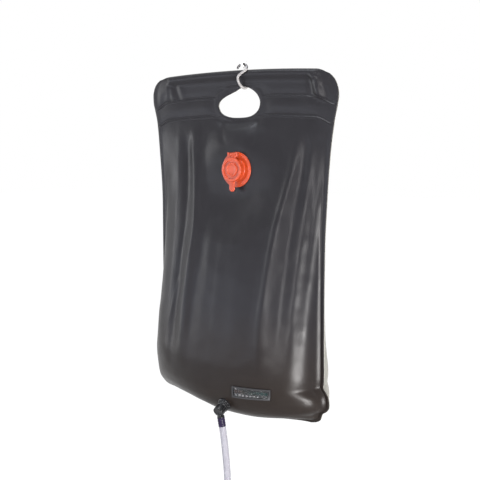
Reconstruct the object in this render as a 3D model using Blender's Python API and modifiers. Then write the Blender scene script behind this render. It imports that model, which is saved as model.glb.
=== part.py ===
"""Camp shower bag, full of water and hanging by its cord.

Metres, +Z up. The front of the bag faces -Y. The origin is the top of the inside of the cord's eye,
where the bag hangs, and the other heights are measured down from there.
"""

import math

import bmesh
import bpy
from mathutils import Matrix, Vector

# Clearances
GAP = 0.0003
OVERRUN = 0.004
MERGE = 0.00001
STRIP_STANDOFF = 0.0008

# Bag
BAG_X = -0.010
BAG_Y = 0.003
BAG_TOP = -0.1634
BAG_HEIGHT = 0.580
BAG_HALF_WIDTH = 0.191
FILM = 0.0008
WELD_WIDTH = 0.008
SEAM_1_DROP = 0.0425
SEAM_2_DROP = 0.0748
BAND_PUFF = 0.002
EAR_PUFF = 0.006
FRONT_BULGE = 0.0815
BACK_BULGE = 0.094
CORNER_TUCK = 0.25
CORNER_LIFT = 0.026
SLEEVE_SAG = 0.0035
EAR_DROOP = 0.012
BELLY_ROWS = 17
TURN_ROWS = 7
BELLY_TURN_SHARE = 0.9

# The left and right edges as shares of the half width, at shares of the height
LEFT_EDGE_SHARES = (
    (0.0, 0.905), (0.0034, 0.945), (0.014, 0.986), (0.032, 1.002), (0.050, 1.0), (0.076, 0.981),
    (0.117, 0.954), (0.218, 0.927), (0.39, 0.898), (0.62, 0.896), (0.75, 0.902), (0.85, 0.914),
    (0.925, 0.908), (0.96, 0.87), (0.988, 0.79), (1.0, 0.68),
)
RIGHT_EDGE_SHARES = (
    (0.0, 0.88), (0.004, 0.93), (0.014, 0.985), (0.030, 1.006), (0.048, 1.011), (0.078, 0.998),
    (0.1225, 0.971), (0.2165, 0.938), (0.372, 0.908), (0.50, 0.891), (0.65, 0.888), (0.78, 0.890),
    (0.88, 0.893), (0.907, 0.890), (0.924, 0.938), (0.945, 0.952), (0.967, 0.895), (0.984, 0.835),
    (1.0, 0.79),
)

# How far the lower corners are drawn up, as shares of the lift, at shares of the half width to
# the left
CORNER_LIFT_SHARES = (
    (-1.0, -0.14), (-0.72, 0.06), (-0.35, -0.10), (-0.04, 0.0), (0.15, 0.29), (0.37, 0.56),
    (0.6, 0.68), (1.0, 0.3),
)
CORNER_LIFT_START_SHARE = 0.86

# How far the belly stands out, as shares of its bulge, at shares of the drop from seam to weld
FRONT_BELLY_SHARES = (
    (0.0, 0.0), (0.061, 0.10), (0.123, 0.165), (0.186, 0.233), (0.307, 0.42), (0.45, 0.62),
    (0.61, 0.80), (0.76, 0.945), (0.84, 1.0), (0.90, 1.0), (0.94, 0.965), (0.961, 0.91),
    (0.975, 0.84), (0.9877, 0.71), (0.9969, 0.45), (1.0, 0.0),
)
BACK_BELLY_SHARES = (
    (0.0, 0.0), (0.061, 0.13), (0.186, 0.36), (0.40, 0.62), (0.61, 0.72), (0.74, 0.775),
    (0.86, 0.955), (0.905, 0.955), (0.94, 0.82), (0.961, 0.73), (0.975, 0.66), (0.9877, 0.57),
    (0.9969, 0.34), (1.0, 0.0),
)
BELLY_POWER = (3.2, 2.6)
BELLY_FULLNESS = (0.95, 0.43)

# The belly's folds run down along the panels' own columns. Each line gives its place across, as
# shares of the half width at three heights, and how far the front and the back stand out there
FOLD_HEIGHT_SHARES = (0.116, 0.39, 0.647)
FOLD_LINES = (
    ((-1.0, -1.0, -1.0), 0.0, 0.0),
    ((-0.975, -0.975, -0.970), 0.0, 0.0),
    ((-0.935, -0.90, -0.87), 0.0, 0.0010),
    ((-0.877, -0.77, -0.70), 0.0026, -0.0012),
    ((-0.80, -0.68, -0.655), 0.0, 0.0008),
    ((-0.72, -0.59, -0.61), -0.0028, 0.0026),
    ((-0.60, -0.42, -0.466), 0.0040, -0.0022),
    ((-0.42, -0.29, -0.37), -0.0024, 0.0),
    ((-0.28, -0.205, -0.19), 0.0014, 0.0018),
    ((-0.14, -0.10, -0.09), 0.0, 0.0),
    ((0.0, 0.0, 0.0), 0.0006, -0.0010),
    ((0.13, 0.11, 0.10), 0.0, 0.0),
    ((0.26, 0.22, 0.20), 0.0, 0.0014),
    ((0.40, 0.34, 0.31), -0.0008, 0.0),
    ((0.53, 0.46, 0.41), -0.0012, -0.0020),
    ((0.65, 0.57, 0.50), 0.0, 0.0026),
    ((0.757, 0.67, 0.596), 0.0036, 0.0),
    ((0.815, 0.76, 0.72), -0.0022, -0.0020),
    ((0.875, 0.865, 0.84), 0.0022, 0.0010),
    ((0.925, 0.92, 0.90), -0.0010, 0.0),
    ((0.96, 0.96, 0.95), 0.0008, 0.0),
    ((0.985, 0.985, 0.985), 0.0, 0.0),
    ((1.0, 1.0, 1.0), 0.0, 0.0),
)
FOLD_START_SHARES = (0.0, 0.14)
FOLD_END_SHARES = (0.66, 0.88)
FOLD_ROOM = 0.012

# Hand hole, its outline as shares of its half width and of its height from the top
HOLE_HALF_WIDTH = 0.043
HOLE_HEIGHT = 0.0515
HOLE_DROP = 0.027
HOLE_X = -0.0005
HOLE_SHARES = (
    (0.26, 0.0), (0.55, 0.07), (0.82, 0.22), (0.97, 0.40), (1.0, 0.58), (0.88, 0.80), (0.55, 0.96),
    (0.05, 1.0), (-0.48, 0.97), (-0.85, 0.84), (-1.0, 0.63), (-0.93, 0.45), (-0.66, 0.30),
    (-0.22, 0.16), (0.06, 0.05),
)
HOLE_WELD = 0.006

# Stiffening rod in the sleeve
ROD_RADIUS = 0.006
ROD_LENGTH = 0.266
ROD_POINTS = 15
ROD_SIDES = 12
SLEEVE_RADIUS = ROD_RADIUS + GAP
# How far the sleeve stands out below the rod's centre, both as counts of its radius
SLEEVE_TAIL_SHARES = ((1.0, 1.0), (1.6, 0.86), (2.3, 0.5), (3.4, 0.27), (5.0, 0.22))
ROD_COVER = 0.151

# Filler valve, on an axis along -Y
FILLER_X = -0.001
FILLER_DROP_SHARE = 0.28483
FILLER_Z = BAG_TOP - FILLER_DROP_SHARE * BAG_HEIGHT
FILLER_SEAT = 0.019
FILLER_FLAT_RADIUS = 0.034
FILLER_BLEND_RADII = (0.085, 0.125)
FLANGE_RADIUS = 0.0295
FLANGE_THICKNESS = 0.0022
NECK_RADIUS = 0.0177
NECK_BORE = 0.0152
NECK_RISE = 0.008
NECK_INSIDE = 0.009
NECK_FILLET = 0.0015
BACKING_RADIUS = 0.0275
BACKING_THICKNESS = 0.0015
CAP_RADIUS = 0.0200
CAP_RISE = 0.0165
CAP_CROWN = 0.0012
CAP_RECESS = 0.0024
CAP_RECESS_OUTER = 0.0158
CAP_RECESS_INNER = 0.0112
CAP_DISH_RADIUS = 0.0075
CAP_DISH = 0.0010
SEAL_THICKNESS = 0.001
SEAL_WIDTH = 0.0020
PLUG_CLEARANCE = 0.0005
PLUG_WALL = 0.0018
PLUG_DEPTH = 0.0052
TAB_WIDTH = 0.011
TAB_REACH = 0.0365
TAB_THICKNESS = 0.0022
TAB_BACK = 0.0022
TAB_OVERLAP = 0.0035
HINGE_DROP = 0.0252
HINGE_RISE = 0.0098
HINGE_PIN_RADIUS = 0.0011
HINGE_KNUCKLE_RADIUS = 0.0029
HINGE_WIDTH = 0.0205
KNUCKLE_WIDTH = 0.0125
CHEEK_DEPTH = 0.0066
STRAP_THICKNESS = 0.0030
RIB_COUNT = 4
RIB_WIDTH = 0.0011
RIB_RISE = 0.0010
VALVE_STEPS = 32

# Outlet, on an axis that slants down and forward
OUTLET_X = 0.0145
OUTLET_DROP_SHARE = 0.9491
OUTLET_DROP = OUTLET_DROP_SHARE * BAG_HEIGHT
OUTLET_SLOPE = 28.0
OUTLET_FLANGE_RADIUS = 0.012
OUTLET_FLANGE_RISE = 0.0016
OUTLET_FLANGE_SINK = 0.0022
BOSS_RADIUS = 0.0066
BOSS_RISE = 0.0045
WASHER_THICKNESS = 0.0008
WASHER_BORE = 0.0030
COLLAR_RADIUS = 0.0062
COLLAR_THICKNESS = 0.0010
NUT_RADIUS = 0.0100
NUT_LIP = 0.0015
NUT_RIBS = 16
NUT_RIB_DEPTH = 0.0006
NUT_RIB_WIDTH = 0.0014
ELBOW_RADIUS = 0.0050
ELBOW_RISE = 0.0145
ELBOW_LEG = 0.0100
ELBOW_BODY_RADIUS = 0.0092
ELBOW_BODY_END = 0.0205
ELBOW_BODY_CHAMFER = 0.0012
ELBOW_BEND_SHARE = 0.9
ELBOW_BORE = 0.0026
SHOULDER_RADIUS = 0.0062
SHOULDER_THICKNESS = 0.0016
BARB_ROOT = 0.0041
BARB_TIP = 0.0048
BARB_COUNT = 3
BARB_PITCH = 0.0045
OUTLET_STEPS = 24

# Hose
HOSE_RADIUS = 0.00575
CUFF_LENGTH = 0.0155
CUFF_RADIUS = 0.0063
CUFF_BORE = BARB_TIP + GAP
HOSE_DIRECTION = Vector((0.115, 0.10, -1.0)).normalized()
# Where the hose goes below its cuff, a route chosen by hand and measured from the outlet
HOSE_ROUTE = (
    (0.0044, -0.0068, -0.0566), (0.0048, -0.0052, -0.0706), (0.0052, -0.0034, -0.0850),
    (0.0056, -0.0018, -0.1006), (0.0060, -0.0004, -0.1186), (0.0063, 0.0005, -0.1386),
    (0.0064, 0.0009, -0.1598), (0.0064, 0.0010, -0.1800),
)
HOSE_SPACING = 0.018
COIL_RADIUS = 0.0625
COIL_PITCH = 0.0125
COIL_LOOP_POINTS = 24
COIL_END_RUN = 0.031
TIE_HEIGHT = 0.006
TIE_THICKNESS = 0.0012
TIE_CLEARANCE = 0.0005
TIE_CORNERS = 8

# Shower head, its heights measured down from the end of the hose
HEAD_SOCKET_RADIUS = 0.0078
HEAD_SOCKET_LENGTH = 0.009
HEAD_GRIP_RADIUS = 0.0105
HEAD_GRIP_LENGTH = 0.034
HEAD_GROOVE = 0.0008
HEAD_GROOVES = 4
HEAD_STEM_RADIUS = 0.0062
HEAD_STEM_END = 0.052
HEAD_CHAMFER = 0.001
HEAD_SEAL_DROP = 0.046
HEAD_SEAL_RADIUS = 0.0008
ROSE_NECK_RADIUS = 0.0125
ROSE_NECK_END = 0.048
ROSE_RADIUS = 0.0245
ROSE_SHOULDER = 0.066
ROSE_END = 0.0745
ROSE_WALL = 0.0018
PLATE_SET_BACK = 0.0015
PLATE_THICKNESS = 0.0018
SPRAY_HOLE = 0.0009
SPRAY_RINGS = ((1, 0.0), (6, 0.0065), (12, 0.0125), (15, 0.0180))
HEAD_STEPS = 24

# Thermometer strip on the lower right of the front
THERMO_X = 0.068
THERMO_DROP_SHARE = 0.90448
THERMO_Z = BAG_TOP - THERMO_DROP_SHARE * BAG_HEIGHT
THERMO_LENGTH = 0.066
THERMO_HEIGHT = 0.0175
THERMO_THICKNESS = 0.0006
THERMO_BORDER = 0.0022
THERMO_FRAME_RISE = 0.0014
THERMO_WINDOW_THICKNESS = 0.0005
THERMO_COLUMNS = 11
THERMO_ROWS = 5

# Hanging cord and hook
CORD_RADIUS = 0.002
CORD_SPACING = 0.0045
KNOT_Z = -0.0546
KNOT_HEIGHT = 0.020
KNOT_RADIUS = 0.0082
KNOT_TURNS = 3
HOOK_WIRE = 0.0019
HOOK_SPACING = 0.0032
# Routes chosen by hand, in the order they run
CORD_ROUTE = (
    (0.0, -0.0045, KNOT_Z - KNOT_HEIGHT / 2 - GAP), (0.0, -0.0045, -0.0900),
    (0.0, -0.0045, -0.1150), (0.0, -0.0045, -0.1380), (0.0, -0.0046, -0.1490),
    (0.0, -0.0046, -0.1535), (0.0, -0.0032, -0.1566), (0.0, 0.0, -0.1579),
    (0.0, 0.0032, -0.1566), (0.0, 0.0046, -0.1535), (0.0, 0.0046, -0.1490),
    (0.0, 0.0045, -0.1380), (0.0, 0.0045, -0.1150), (0.0, 0.0045, -0.0900),
    (0.0, 0.0045, KNOT_Z - KNOT_HEIGHT / 2 - GAP),
)
EYE_ROUTE = (
    (0.0, -0.0045, KNOT_Z + KNOT_HEIGHT / 2 + GAP), (0.0, -0.0055, -0.0380),
    (0.0, -0.0085, -0.0270), (0.0, -0.0105, -0.0160), (0.0, -0.0096, -0.0065),
    (0.0, -0.0055, 0.0002), (0.0, 0.0, 0.0020), (0.0, 0.0055, 0.0002),
    (0.0, 0.0096, -0.0065), (0.0, 0.0105, -0.0160), (0.0, 0.0085, -0.0270),
    (0.0, 0.0055, -0.0380), (0.0, 0.0045, KNOT_Z + KNOT_HEIGHT / 2 + GAP),
)
HOOK_ROUTE = (
    (-0.0102, -0.0032, -0.1612), (-0.0086, -0.0020, -0.1572), (-0.0048, -0.0006, -0.1541),
    (0.0, 0.0, -0.1531), (0.0048, -0.0002, -0.1546), (0.0080, -0.0010, -0.1580),
    (0.0086, -0.0030, -0.1618), (0.0058, -0.0056, -0.1654), (0.0008, -0.0073, -0.1690),
    (-0.0040, -0.0078, -0.1725), (-0.0058, -0.0077, -0.1775), (-0.0042, -0.0070, -0.1840),
    (-0.0014, -0.0040, -0.1900), (0.0004, 0.0012, -0.1929), (0.0010, 0.0066, -0.1921),
    (0.0010, 0.0112, -0.1882), (0.0010, 0.0136, -0.1822), (0.0010, 0.0138, -0.1760),
)

DOWN = Vector((0.0, 0.0, -1.0))
FORWARD = Vector((0.0, -1.0, 0.0))
PIECES = "camp_shower_bag"
CUTTERS = "cutters"


def start_collections():
    """Empties the file and makes one collection for the pieces and one for the cutters."""
    for old in list(bpy.data.objects):
        bpy.data.objects.remove(old, do_unlink=True)
    for name in (PIECES, CUTTERS):
        made = bpy.data.collections.new(name)
        bpy.context.scene.collection.children.link(made)


def finish(name, colour, roughness, metallic=0.0, clear=0.0, opacity=1.0):
    """A Principled material in the piece's own colour."""
    made = bpy.data.materials.new(name)
    made.use_nodes = True
    shader = made.node_tree.nodes["Principled BSDF"]
    shader.inputs["Base Color"].default_value = (*colour, 1.0)
    shader.inputs["Roughness"].default_value = roughness
    shader.inputs["Metallic"].default_value = metallic
    shader.inputs["Transmission Weight"].default_value = clear
    shader.inputs["Alpha"].default_value = opacity
    return made


def keep(obj, material=None, collection=PIECES):
    """Puts an object in its collection, with its material."""
    bpy.data.collections[collection].objects.link(obj)
    if material:
        obj.data.materials.append(material)
    return obj


def cutter(obj):
    """Marks an object as one that only cuts."""
    keep(obj, collection=CUTTERS)
    obj.hide_render = True
    obj.display_type = "WIRE"
    return obj


def cut(obj, tool, operation="DIFFERENCE"):
    """Adds an exact Boolean of obj with the tool."""
    modifier = obj.modifiers.new(tool.name, "BOOLEAN")
    modifier.operation = operation
    modifier.object = tool
    return obj


def along(table, place):
    """A smooth curve through pairs of place and value that never overshoots them."""
    if place <= table[0][0]:
        return table[0][1]
    if place >= table[-1][0]:
        return table[-1][1]
    last = len(table) - 1
    after = next(i for i in range(1, last + 1) if table[i][0] >= place)

    def rise(i):
        return (table[i + 1][1] - table[i][1]) / (table[i + 1][0] - table[i][0])

    def slope(i):
        if i in (0, last):
            return rise(min(i, last - 1))
        before, beyond = rise(i - 1), rise(i)
        return 0.0 if before * beyond <= 0 else 2 * before * beyond / (before + beyond)

    low, high = table[after - 1], table[after]
    step = high[0] - low[0]
    t = (place - low[0]) / step
    rising = t * t * (3 - 2 * t)
    value = low[1] + (high[1] - low[1]) * rising
    value += step * slope(after - 1) * t * (1 - t) ** 2
    return value - step * slope(after) * t * t * (1 - t)


def ease(low, high, value):
    """Goes smoothly from 0 at low to 1 at high."""
    t = min(max((value - low) / (high - low), 0.0), 1.0)
    return t * t * (3 - 2 * t)


def mix(first, second, share):
    return first + (second - first) * share


def turn_to(direction):
    """The rotation that takes +Z to a direction."""
    return Vector((0.0, 0.0, 1.0)).rotation_difference(direction).to_matrix().to_4x4()


def turned(name, profile, place, direction, steps, material=None, is_cutter=False):
    """Turns a profile of (radius, height) about an axis. It runs down the outer side."""
    mesh = bpy.data.meshes.new(name)
    shape = bmesh.new()
    points = [shape.verts.new((radius, 0.0, height)) for radius, height in profile]
    for first, second in zip(points, points[1:]):
        shape.edges.new((first, second))
    if min(profile[0][0], profile[-1][0]) > 0:
        shape.edges.new((points[-1], points[0]))
    shape.to_mesh(mesh)
    shape.free()
    obj = bpy.data.objects.new(name, mesh)
    obj.matrix_world = Matrix.Translation(place) @ turn_to(direction)
    screw = obj.modifiers.new("turn", "SCREW")
    screw.steps = steps
    screw.render_steps = steps
    screw.use_merge_vertices = True
    screw.merge_threshold = MERGE
    screw.use_smooth_shade = True
    return cutter(obj) if is_cutter else keep(obj, material)


def disc(name, radius, low, high, place, direction, steps, material=None, is_cutter=False):
    """A plain cylinder between two heights on an axis."""
    profile = ((0.0, high), (radius, high), (radius, low), (0.0, low))
    return turned(name, profile, place, direction, steps, material, is_cutter)


def cylinders(name, spots, radius, length, place, sides):
    """Upright cylinders at places across, in one object, from the cone primitive."""
    mesh = bpy.data.meshes.new(name)
    shape = bmesh.new()
    for x, y in spots:
        bmesh.ops.create_cone(
            shape, cap_ends=True, segments=sides, radius1=radius, radius2=radius, depth=length,
            matrix=Matrix.Translation((x, y, 0.0)),
        )
    shape.to_mesh(mesh)
    shape.free()
    obj = bpy.data.objects.new(name, mesh)
    obj.matrix_world = Matrix.Translation(place)
    return obj


def box(name, size, place, rotation=None):
    """A box of full sizes about its middle, from the cube primitive."""
    mesh = bpy.data.meshes.new(name)
    shape = bmesh.new()
    bmesh.ops.create_cube(shape, size=1.0, matrix=Matrix.Diagonal((*size, 1.0)))
    shape.to_mesh(mesh)
    shape.free()
    obj = bpy.data.objects.new(name, mesh)
    obj.matrix_world = Matrix.Translation(place) @ (rotation or Matrix.Identity(4))
    return obj


def smooth_line(route, spacing):
    """Points at about the given spacing on a smooth curve through a route's own points."""
    route = [Vector(p) for p in route]
    ends = [2 * route[0] - route[1], *route, 2 * route[-1] - route[-2]]
    fine = []
    for i in range(1, len(ends) - 2):
        before, first, second, after = ends[i - 1 : i + 3]
        for k in range(12):
            t = k / 12
            fine.append(
                0.5 * (2 * first + (second - before) * t
                + (2 * before - 5 * first + 4 * second - after) * t ** 2
                + (3 * first - before - 3 * second + after) * t ** 3)
            )
    fine.append(route[-1])
    travelled = [0.0]
    for first, second in zip(fine, fine[1:]):
        travelled.append(travelled[-1] + (second - first).length)
    count = max(2, round(travelled[-1] / spacing))
    line = []
    k = 0
    for i in range(count + 1):
        goal = travelled[-1] * i / count
        while k < len(fine) - 2 and travelled[k + 1] < goal:
            k += 1
        run = travelled[k + 1] - travelled[k]
        line.append(fine[k].lerp(fine[k + 1], min((goal - travelled[k]) / run, 1.0)))
    return line


def tube(name, line, radius, material, resolution=2):
    """A round cord along a line of points."""
    curve = bpy.data.curves.new(name, "CURVE")
    curve.dimensions = "3D"
    curve.bevel_depth = radius
    curve.bevel_resolution = resolution
    curve.use_fill_caps = True
    spline = curve.splines.new("POLY")
    spline.points.add(len(line) - 1)
    for point, place in zip(spline.points, line):
        point.co = (*place, 1.0)
    return keep(bpy.data.objects.new(name, curve), material)


def as_mesh(obj):
    """Makes a curve object a closed mesh that can be cut."""
    graph = bpy.context.evaluated_depsgraph_get()
    mesh = bpy.data.meshes.new_from_object(obj.evaluated_get(graph))
    shape = bmesh.new()
    shape.from_mesh(mesh)
    bmesh.ops.remove_doubles(shape, verts=shape.verts, dist=MERGE)
    bmesh.ops.recalc_face_normals(shape, faces=shape.faces)
    shape.to_mesh(mesh)
    shape.free()
    name = obj.name
    place = obj.matrix_world.copy()
    collections = list(obj.users_collection)
    bpy.data.objects.remove(obj, do_unlink=True)
    made = bpy.data.objects.new(name, mesh)
    made.matrix_world = place
    for collection in collections:
        collection.objects.link(made)
    return made


def flat_outline(name, loops, thickness, place, rotation):
    """A flat plate from closed outlines, the first outside and any others holes."""
    curve = bpy.data.curves.new(name, "CURVE")
    curve.dimensions = "2D"
    curve.fill_mode = "BOTH"
    curve.extrude = thickness / 2
    for loop in loops:
        spline = curve.splines.new("POLY")
        spline.points.add(len(loop) - 1)
        spline.use_cyclic_u = True
        for point, (u, v) in zip(spline.points, loop):
            point.co = (u, v, 0.0, 1.0)
    obj = bpy.data.objects.new(name, curve)
    obj.matrix_world = Matrix.Translation(place) @ rotation
    bpy.data.collections[CUTTERS].objects.link(obj)
    bpy.context.view_layer.update()
    made = as_mesh(obj)
    bpy.data.collections[CUTTERS].objects.unlink(made)
    return made


# The bag's shape, in x from its middle and in drop from its top edge


def edges(drop):
    """The left and right edges of the bag at a drop."""
    share = drop / BAG_HEIGHT
    left = -BAG_HALF_WIDTH * along(LEFT_EDGE_SHARES, share)
    return left, BAG_HALF_WIDTH * along(RIGHT_EDGE_SHARES, share)


def hole_reach(x, drop):
    """How far a place is from the middle of the hand hole, where 1 is on its edge."""
    middle = HOLE_DROP + HOLE_HEIGHT / 2
    across = (x - HOLE_X) / (HOLE_HALF_WIDTH + HOLE_WELD)
    down = (drop - middle) / (HOLE_HEIGHT / 2 + HOLE_WELD)
    return math.hypot(across, down)


def sleeve_depth(x, drop, across):
    """The sleeve's stand-off: round the rod, slack below it, and puffed in the ears."""
    if drop < SLEEVE_RADIUS:
        over_rod = math.sqrt(max(SLEEVE_RADIUS ** 2 - (SLEEVE_RADIUS - drop) ** 2, 0.0))
    else:
        tail = (*SLEEVE_TAIL_SHARES, (SEAM_1_DROP / SLEEVE_RADIUS, 0.0))
        over_rod = SLEEVE_RADIUS * along(tail, drop / SLEEVE_RADIUS)
    up = math.sin(math.pi * min(max(drop / SEAM_1_DROP, 0.0), 1.0)) ** 0.6
    ear = EAR_PUFF * up * max(1 - abs(across) ** 6, 0.0)
    depth = mix(over_rod, ear, ease(ROD_COVER, ROD_COVER + SLEEVE_RADIUS, abs(x)))
    return depth * min((1 - min(abs(across), 1.0)) * BAG_HALF_WIDTH / SLEEVE_RADIUS, 1.0)


def belly_depth(across, drop, shares, bulge):
    """The belly's stand-off, fuller in section the lower it is, and tucked in at the lower left."""
    whole = BAG_HEIGHT - WELD_WIDTH - SEAM_2_DROP
    share = (drop - SEAM_2_DROP) / whole
    power = mix(*BELLY_POWER, ease(0.0, 0.7, share))
    fullness = mix(*BELLY_FULLNESS, ease(0.1, 0.8, share))
    section = max(1 - abs(across) ** power, 0.0) ** fullness
    tuck = CORNER_TUCK * ease(0.78, 1.0, share) * ease(0.1, 1.0, -across)
    return bulge * along(shares, share) * section * (1 - tuck)


def fold_lines(drop, is_front):
    """Where each fold line is across the belly at a drop, and how far it stands out."""
    share = (drop - SEAM_2_DROP) / (BAG_HEIGHT - WELD_WIDTH - SEAM_2_DROP)
    rise = ease(*FOLD_START_SHARES, share) * (1 - ease(*FOLD_END_SHARES, share))
    lines = []
    for places, front, back in FOLD_LINES:
        across = along(tuple(zip(FOLD_HEIGHT_SHARES, places)), share)
        lines.append((across, rise * (front if is_front else back)))
    return lines


def depth(x, drop, is_front):
    """How far a panel's inner face stands off the middle plane."""
    left, right = edges(drop)
    middle = (left + right) / 2
    across = (x - middle) / ((right - left) / 2 - WELD_WIDTH)
    if abs(across) >= 1 or drop <= 0 or drop >= BAG_HEIGHT - WELD_WIDTH:
        return 0.0
    if drop <= SEAM_1_DROP:
        out = sleeve_depth(x, drop, across)
    elif drop <= SEAM_2_DROP:
        share = (drop - SEAM_1_DROP) / (SEAM_2_DROP - SEAM_1_DROP)
        out = BAND_PUFF * math.sin(math.pi * share) * (1 - across ** 6)
    elif is_front:
        out = belly_depth(across, drop, FRONT_BELLY_SHARES, FRONT_BULGE)
    else:
        out = belly_depth(across, drop, BACK_BELLY_SHARES, BACK_BULGE)
    if drop > SEAM_2_DROP:
        out += along(fold_lines(drop, is_front), across) * ease(0.0, FOLD_ROOM, out)
    if drop > HOLE_DROP:
        out *= ease(1.0, 1.5, hole_reach(x, drop))
    if is_front:
        below = FILLER_Z - BAG_TOP + drop
        from_filler = math.hypot(x + BAG_X - FILLER_X, below)
        blend = mix(*FILLER_BLEND_RADII, (1 + below / max(from_filler, MERGE)) / 2)
        out = mix(FILLER_SEAT, out, ease(FILLER_FLAT_RADIUS, blend, from_filler))
    return out


def in_space(x, drop, stand_off, is_front):
    """A place on a panel as a point in space.

    The sleeve hangs from its middle, so its ends and ears droop, and the lower left corner is
    drawn up a little.
    """
    share = drop / BAG_HEIGHT
    lift = CORNER_LIFT * along(CORNER_LIFT_SHARES, -x / BAG_HALF_WIDTH)
    lift *= ease(CORNER_LIFT_START_SHARE, 1.0, share)
    sag = SLEEVE_SAG * (x / (ROD_LENGTH / 2)) ** 2
    sag += EAR_DROOP * ease(ROD_COVER, BAG_HALF_WIDTH, abs(x))
    lift -= sag * (1 - ease(0.12, 0.36, share))
    side = -1.0 if is_front else 1.0
    y = BAG_Y + side * (GAP / 2 + stand_off)
    return Vector((BAG_X + x, y, BAG_TOP - drop + lift))


def panel_rows():
    """The drops of the panel's rows, closer where it turns sharply."""
    rows = [SLEEVE_RADIUS * (1 - math.cos(math.radians(a))) for a in (0, 28, 52, 72, 90)]
    rows += [SLEEVE_RADIUS * count for count, _ in SLEEVE_TAIL_SHARES[1:]]
    rows += [SEAM_1_DROP, (SEAM_1_DROP + SEAM_2_DROP) / 2, SEAM_2_DROP]
    whole = BAG_HEIGHT - WELD_WIDTH - SEAM_2_DROP
    for row in range(1, BELLY_ROWS + 1):
        rows.append(SEAM_2_DROP + whole * BELLY_TURN_SHARE * row / BELLY_ROWS)
    for row in range(1, TURN_ROWS + 1):
        turned_share = math.sin(math.pi / 2 * row / TURN_ROWS)
        rows.append(SEAM_2_DROP + whole * mix(BELLY_TURN_SHARE, 1.0, turned_share))
    return [*rows, BAG_HEIGHT]


def panel(name, is_front, material):
    """One wall of the bag, as a grid bent to its shape and thickened outwards."""
    rows = panel_rows()
    columns = len(FOLD_LINES) + 1
    mesh = bpy.data.meshes.new(name)
    shape = bmesh.new()
    bmesh.ops.create_grid(shape, x_segments=columns, y_segments=len(rows) - 1, size=1.0)
    for vert in shape.verts:
        column = round((vert.co.x + 1) / 2 * columns)
        drop = rows[round((1 - vert.co.y) / 2 * (len(rows) - 1))]
        left, right = edges(drop)
        across = fold_lines(drop, is_front)[min(max(column - 1, 0), columns - 2)][0]
        x = mix(left + WELD_WIDTH, right - WELD_WIDTH, (across + 1) / 2)
        x += WELD_WIDTH if column == columns else 0.0
        x -= WELD_WIDTH if column == 0 else 0.0
        vert.co = in_space(x, drop, depth(x, drop, is_front), is_front)
    if not is_front:
        bmesh.ops.reverse_faces(shape, faces=shape.faces)
    shape.to_mesh(mesh)
    shape.free()
    mesh.shade_smooth()
    obj = keep(bpy.data.objects.new(name, mesh), material)
    film = obj.modifiers.new("film", "SOLIDIFY")
    film.thickness = FILM
    film.offset = 1.0
    film.use_even_offset = True
    film.use_quality_normals = True
    return obj


def on_front(x, z, lift):
    """The point that stands a given way off the outer face of the front panel."""
    step = 0.25 * WELD_WIDTH

    def inner(px, pz):
        return in_space(px - BAG_X, BAG_TOP - pz, depth(px - BAG_X, BAG_TOP - pz, True), True)

    across = inner(x + step, z) - inner(x - step, z)
    upwards = inner(x, z + step) - inner(x, z - step)
    normal = across.cross(upwards).normalized()
    return inner(x, z) + normal * (FILM + lift)


def add_hand_hole(panels):
    """Cuts the hand hole through both panels."""
    loop = []
    count = len(HOLE_SHARES)
    for i in range(count):
        ends = [Vector(HOLE_SHARES[(i + k) % count]) for k in (-1, 0, 1, 2)]
        for t in (0.0, 0.5):
            point = 0.5 * (2 * ends[1] + (ends[2] - ends[0]) * t
                           + (2 * ends[0] - 5 * ends[1] + 4 * ends[2] - ends[3]) * t ** 2
                           + (3 * ends[1] - ends[0] - 3 * ends[2] + ends[3]) * t ** 3)
            loop.append((point.x * HOLE_HALF_WIDTH, -point.y * HOLE_HEIGHT))
    place = Vector((BAG_X + HOLE_X, BAG_Y, BAG_TOP - HOLE_DROP))
    upright = Matrix.Rotation(math.radians(90), 4, "X")
    thickness = 2 * (SLEEVE_RADIUS + FILM + OVERRUN)
    tool = flat_outline("hand_hole", [loop], thickness, place, upright)
    cutter(tool)
    for wall in panels:
        cut(wall, tool)


def make_bag():
    black = finish("black_vinyl", (0.018, 0.017, 0.020), 0.42)
    pale = finish("pale_vinyl", (0.62, 0.62, 0.52), 0.35, opacity=0.75)
    front = panel("front_panel", True, black)
    back = panel("back_panel", False, pale)
    add_hand_hole((front, back))
    line = []
    for k in range(ROD_POINTS):
        x = ROD_LENGTH * (k / (ROD_POINTS - 1) - 0.5)
        line.append(in_space(x, SLEEVE_RADIUS, -GAP / 2, True))
    tube("handle_rod", line, ROD_RADIUS, finish("rod_plastic", (0.55, 0.55, 0.52), 0.5),
         resolution=4)
    return front


# Filler valve. Heights stand off the outer face of the front panel


def filler_place():
    return Vector((FILLER_X, BAG_Y - GAP / 2 - FILLER_SEAT - FILM, FILLER_Z))


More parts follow.
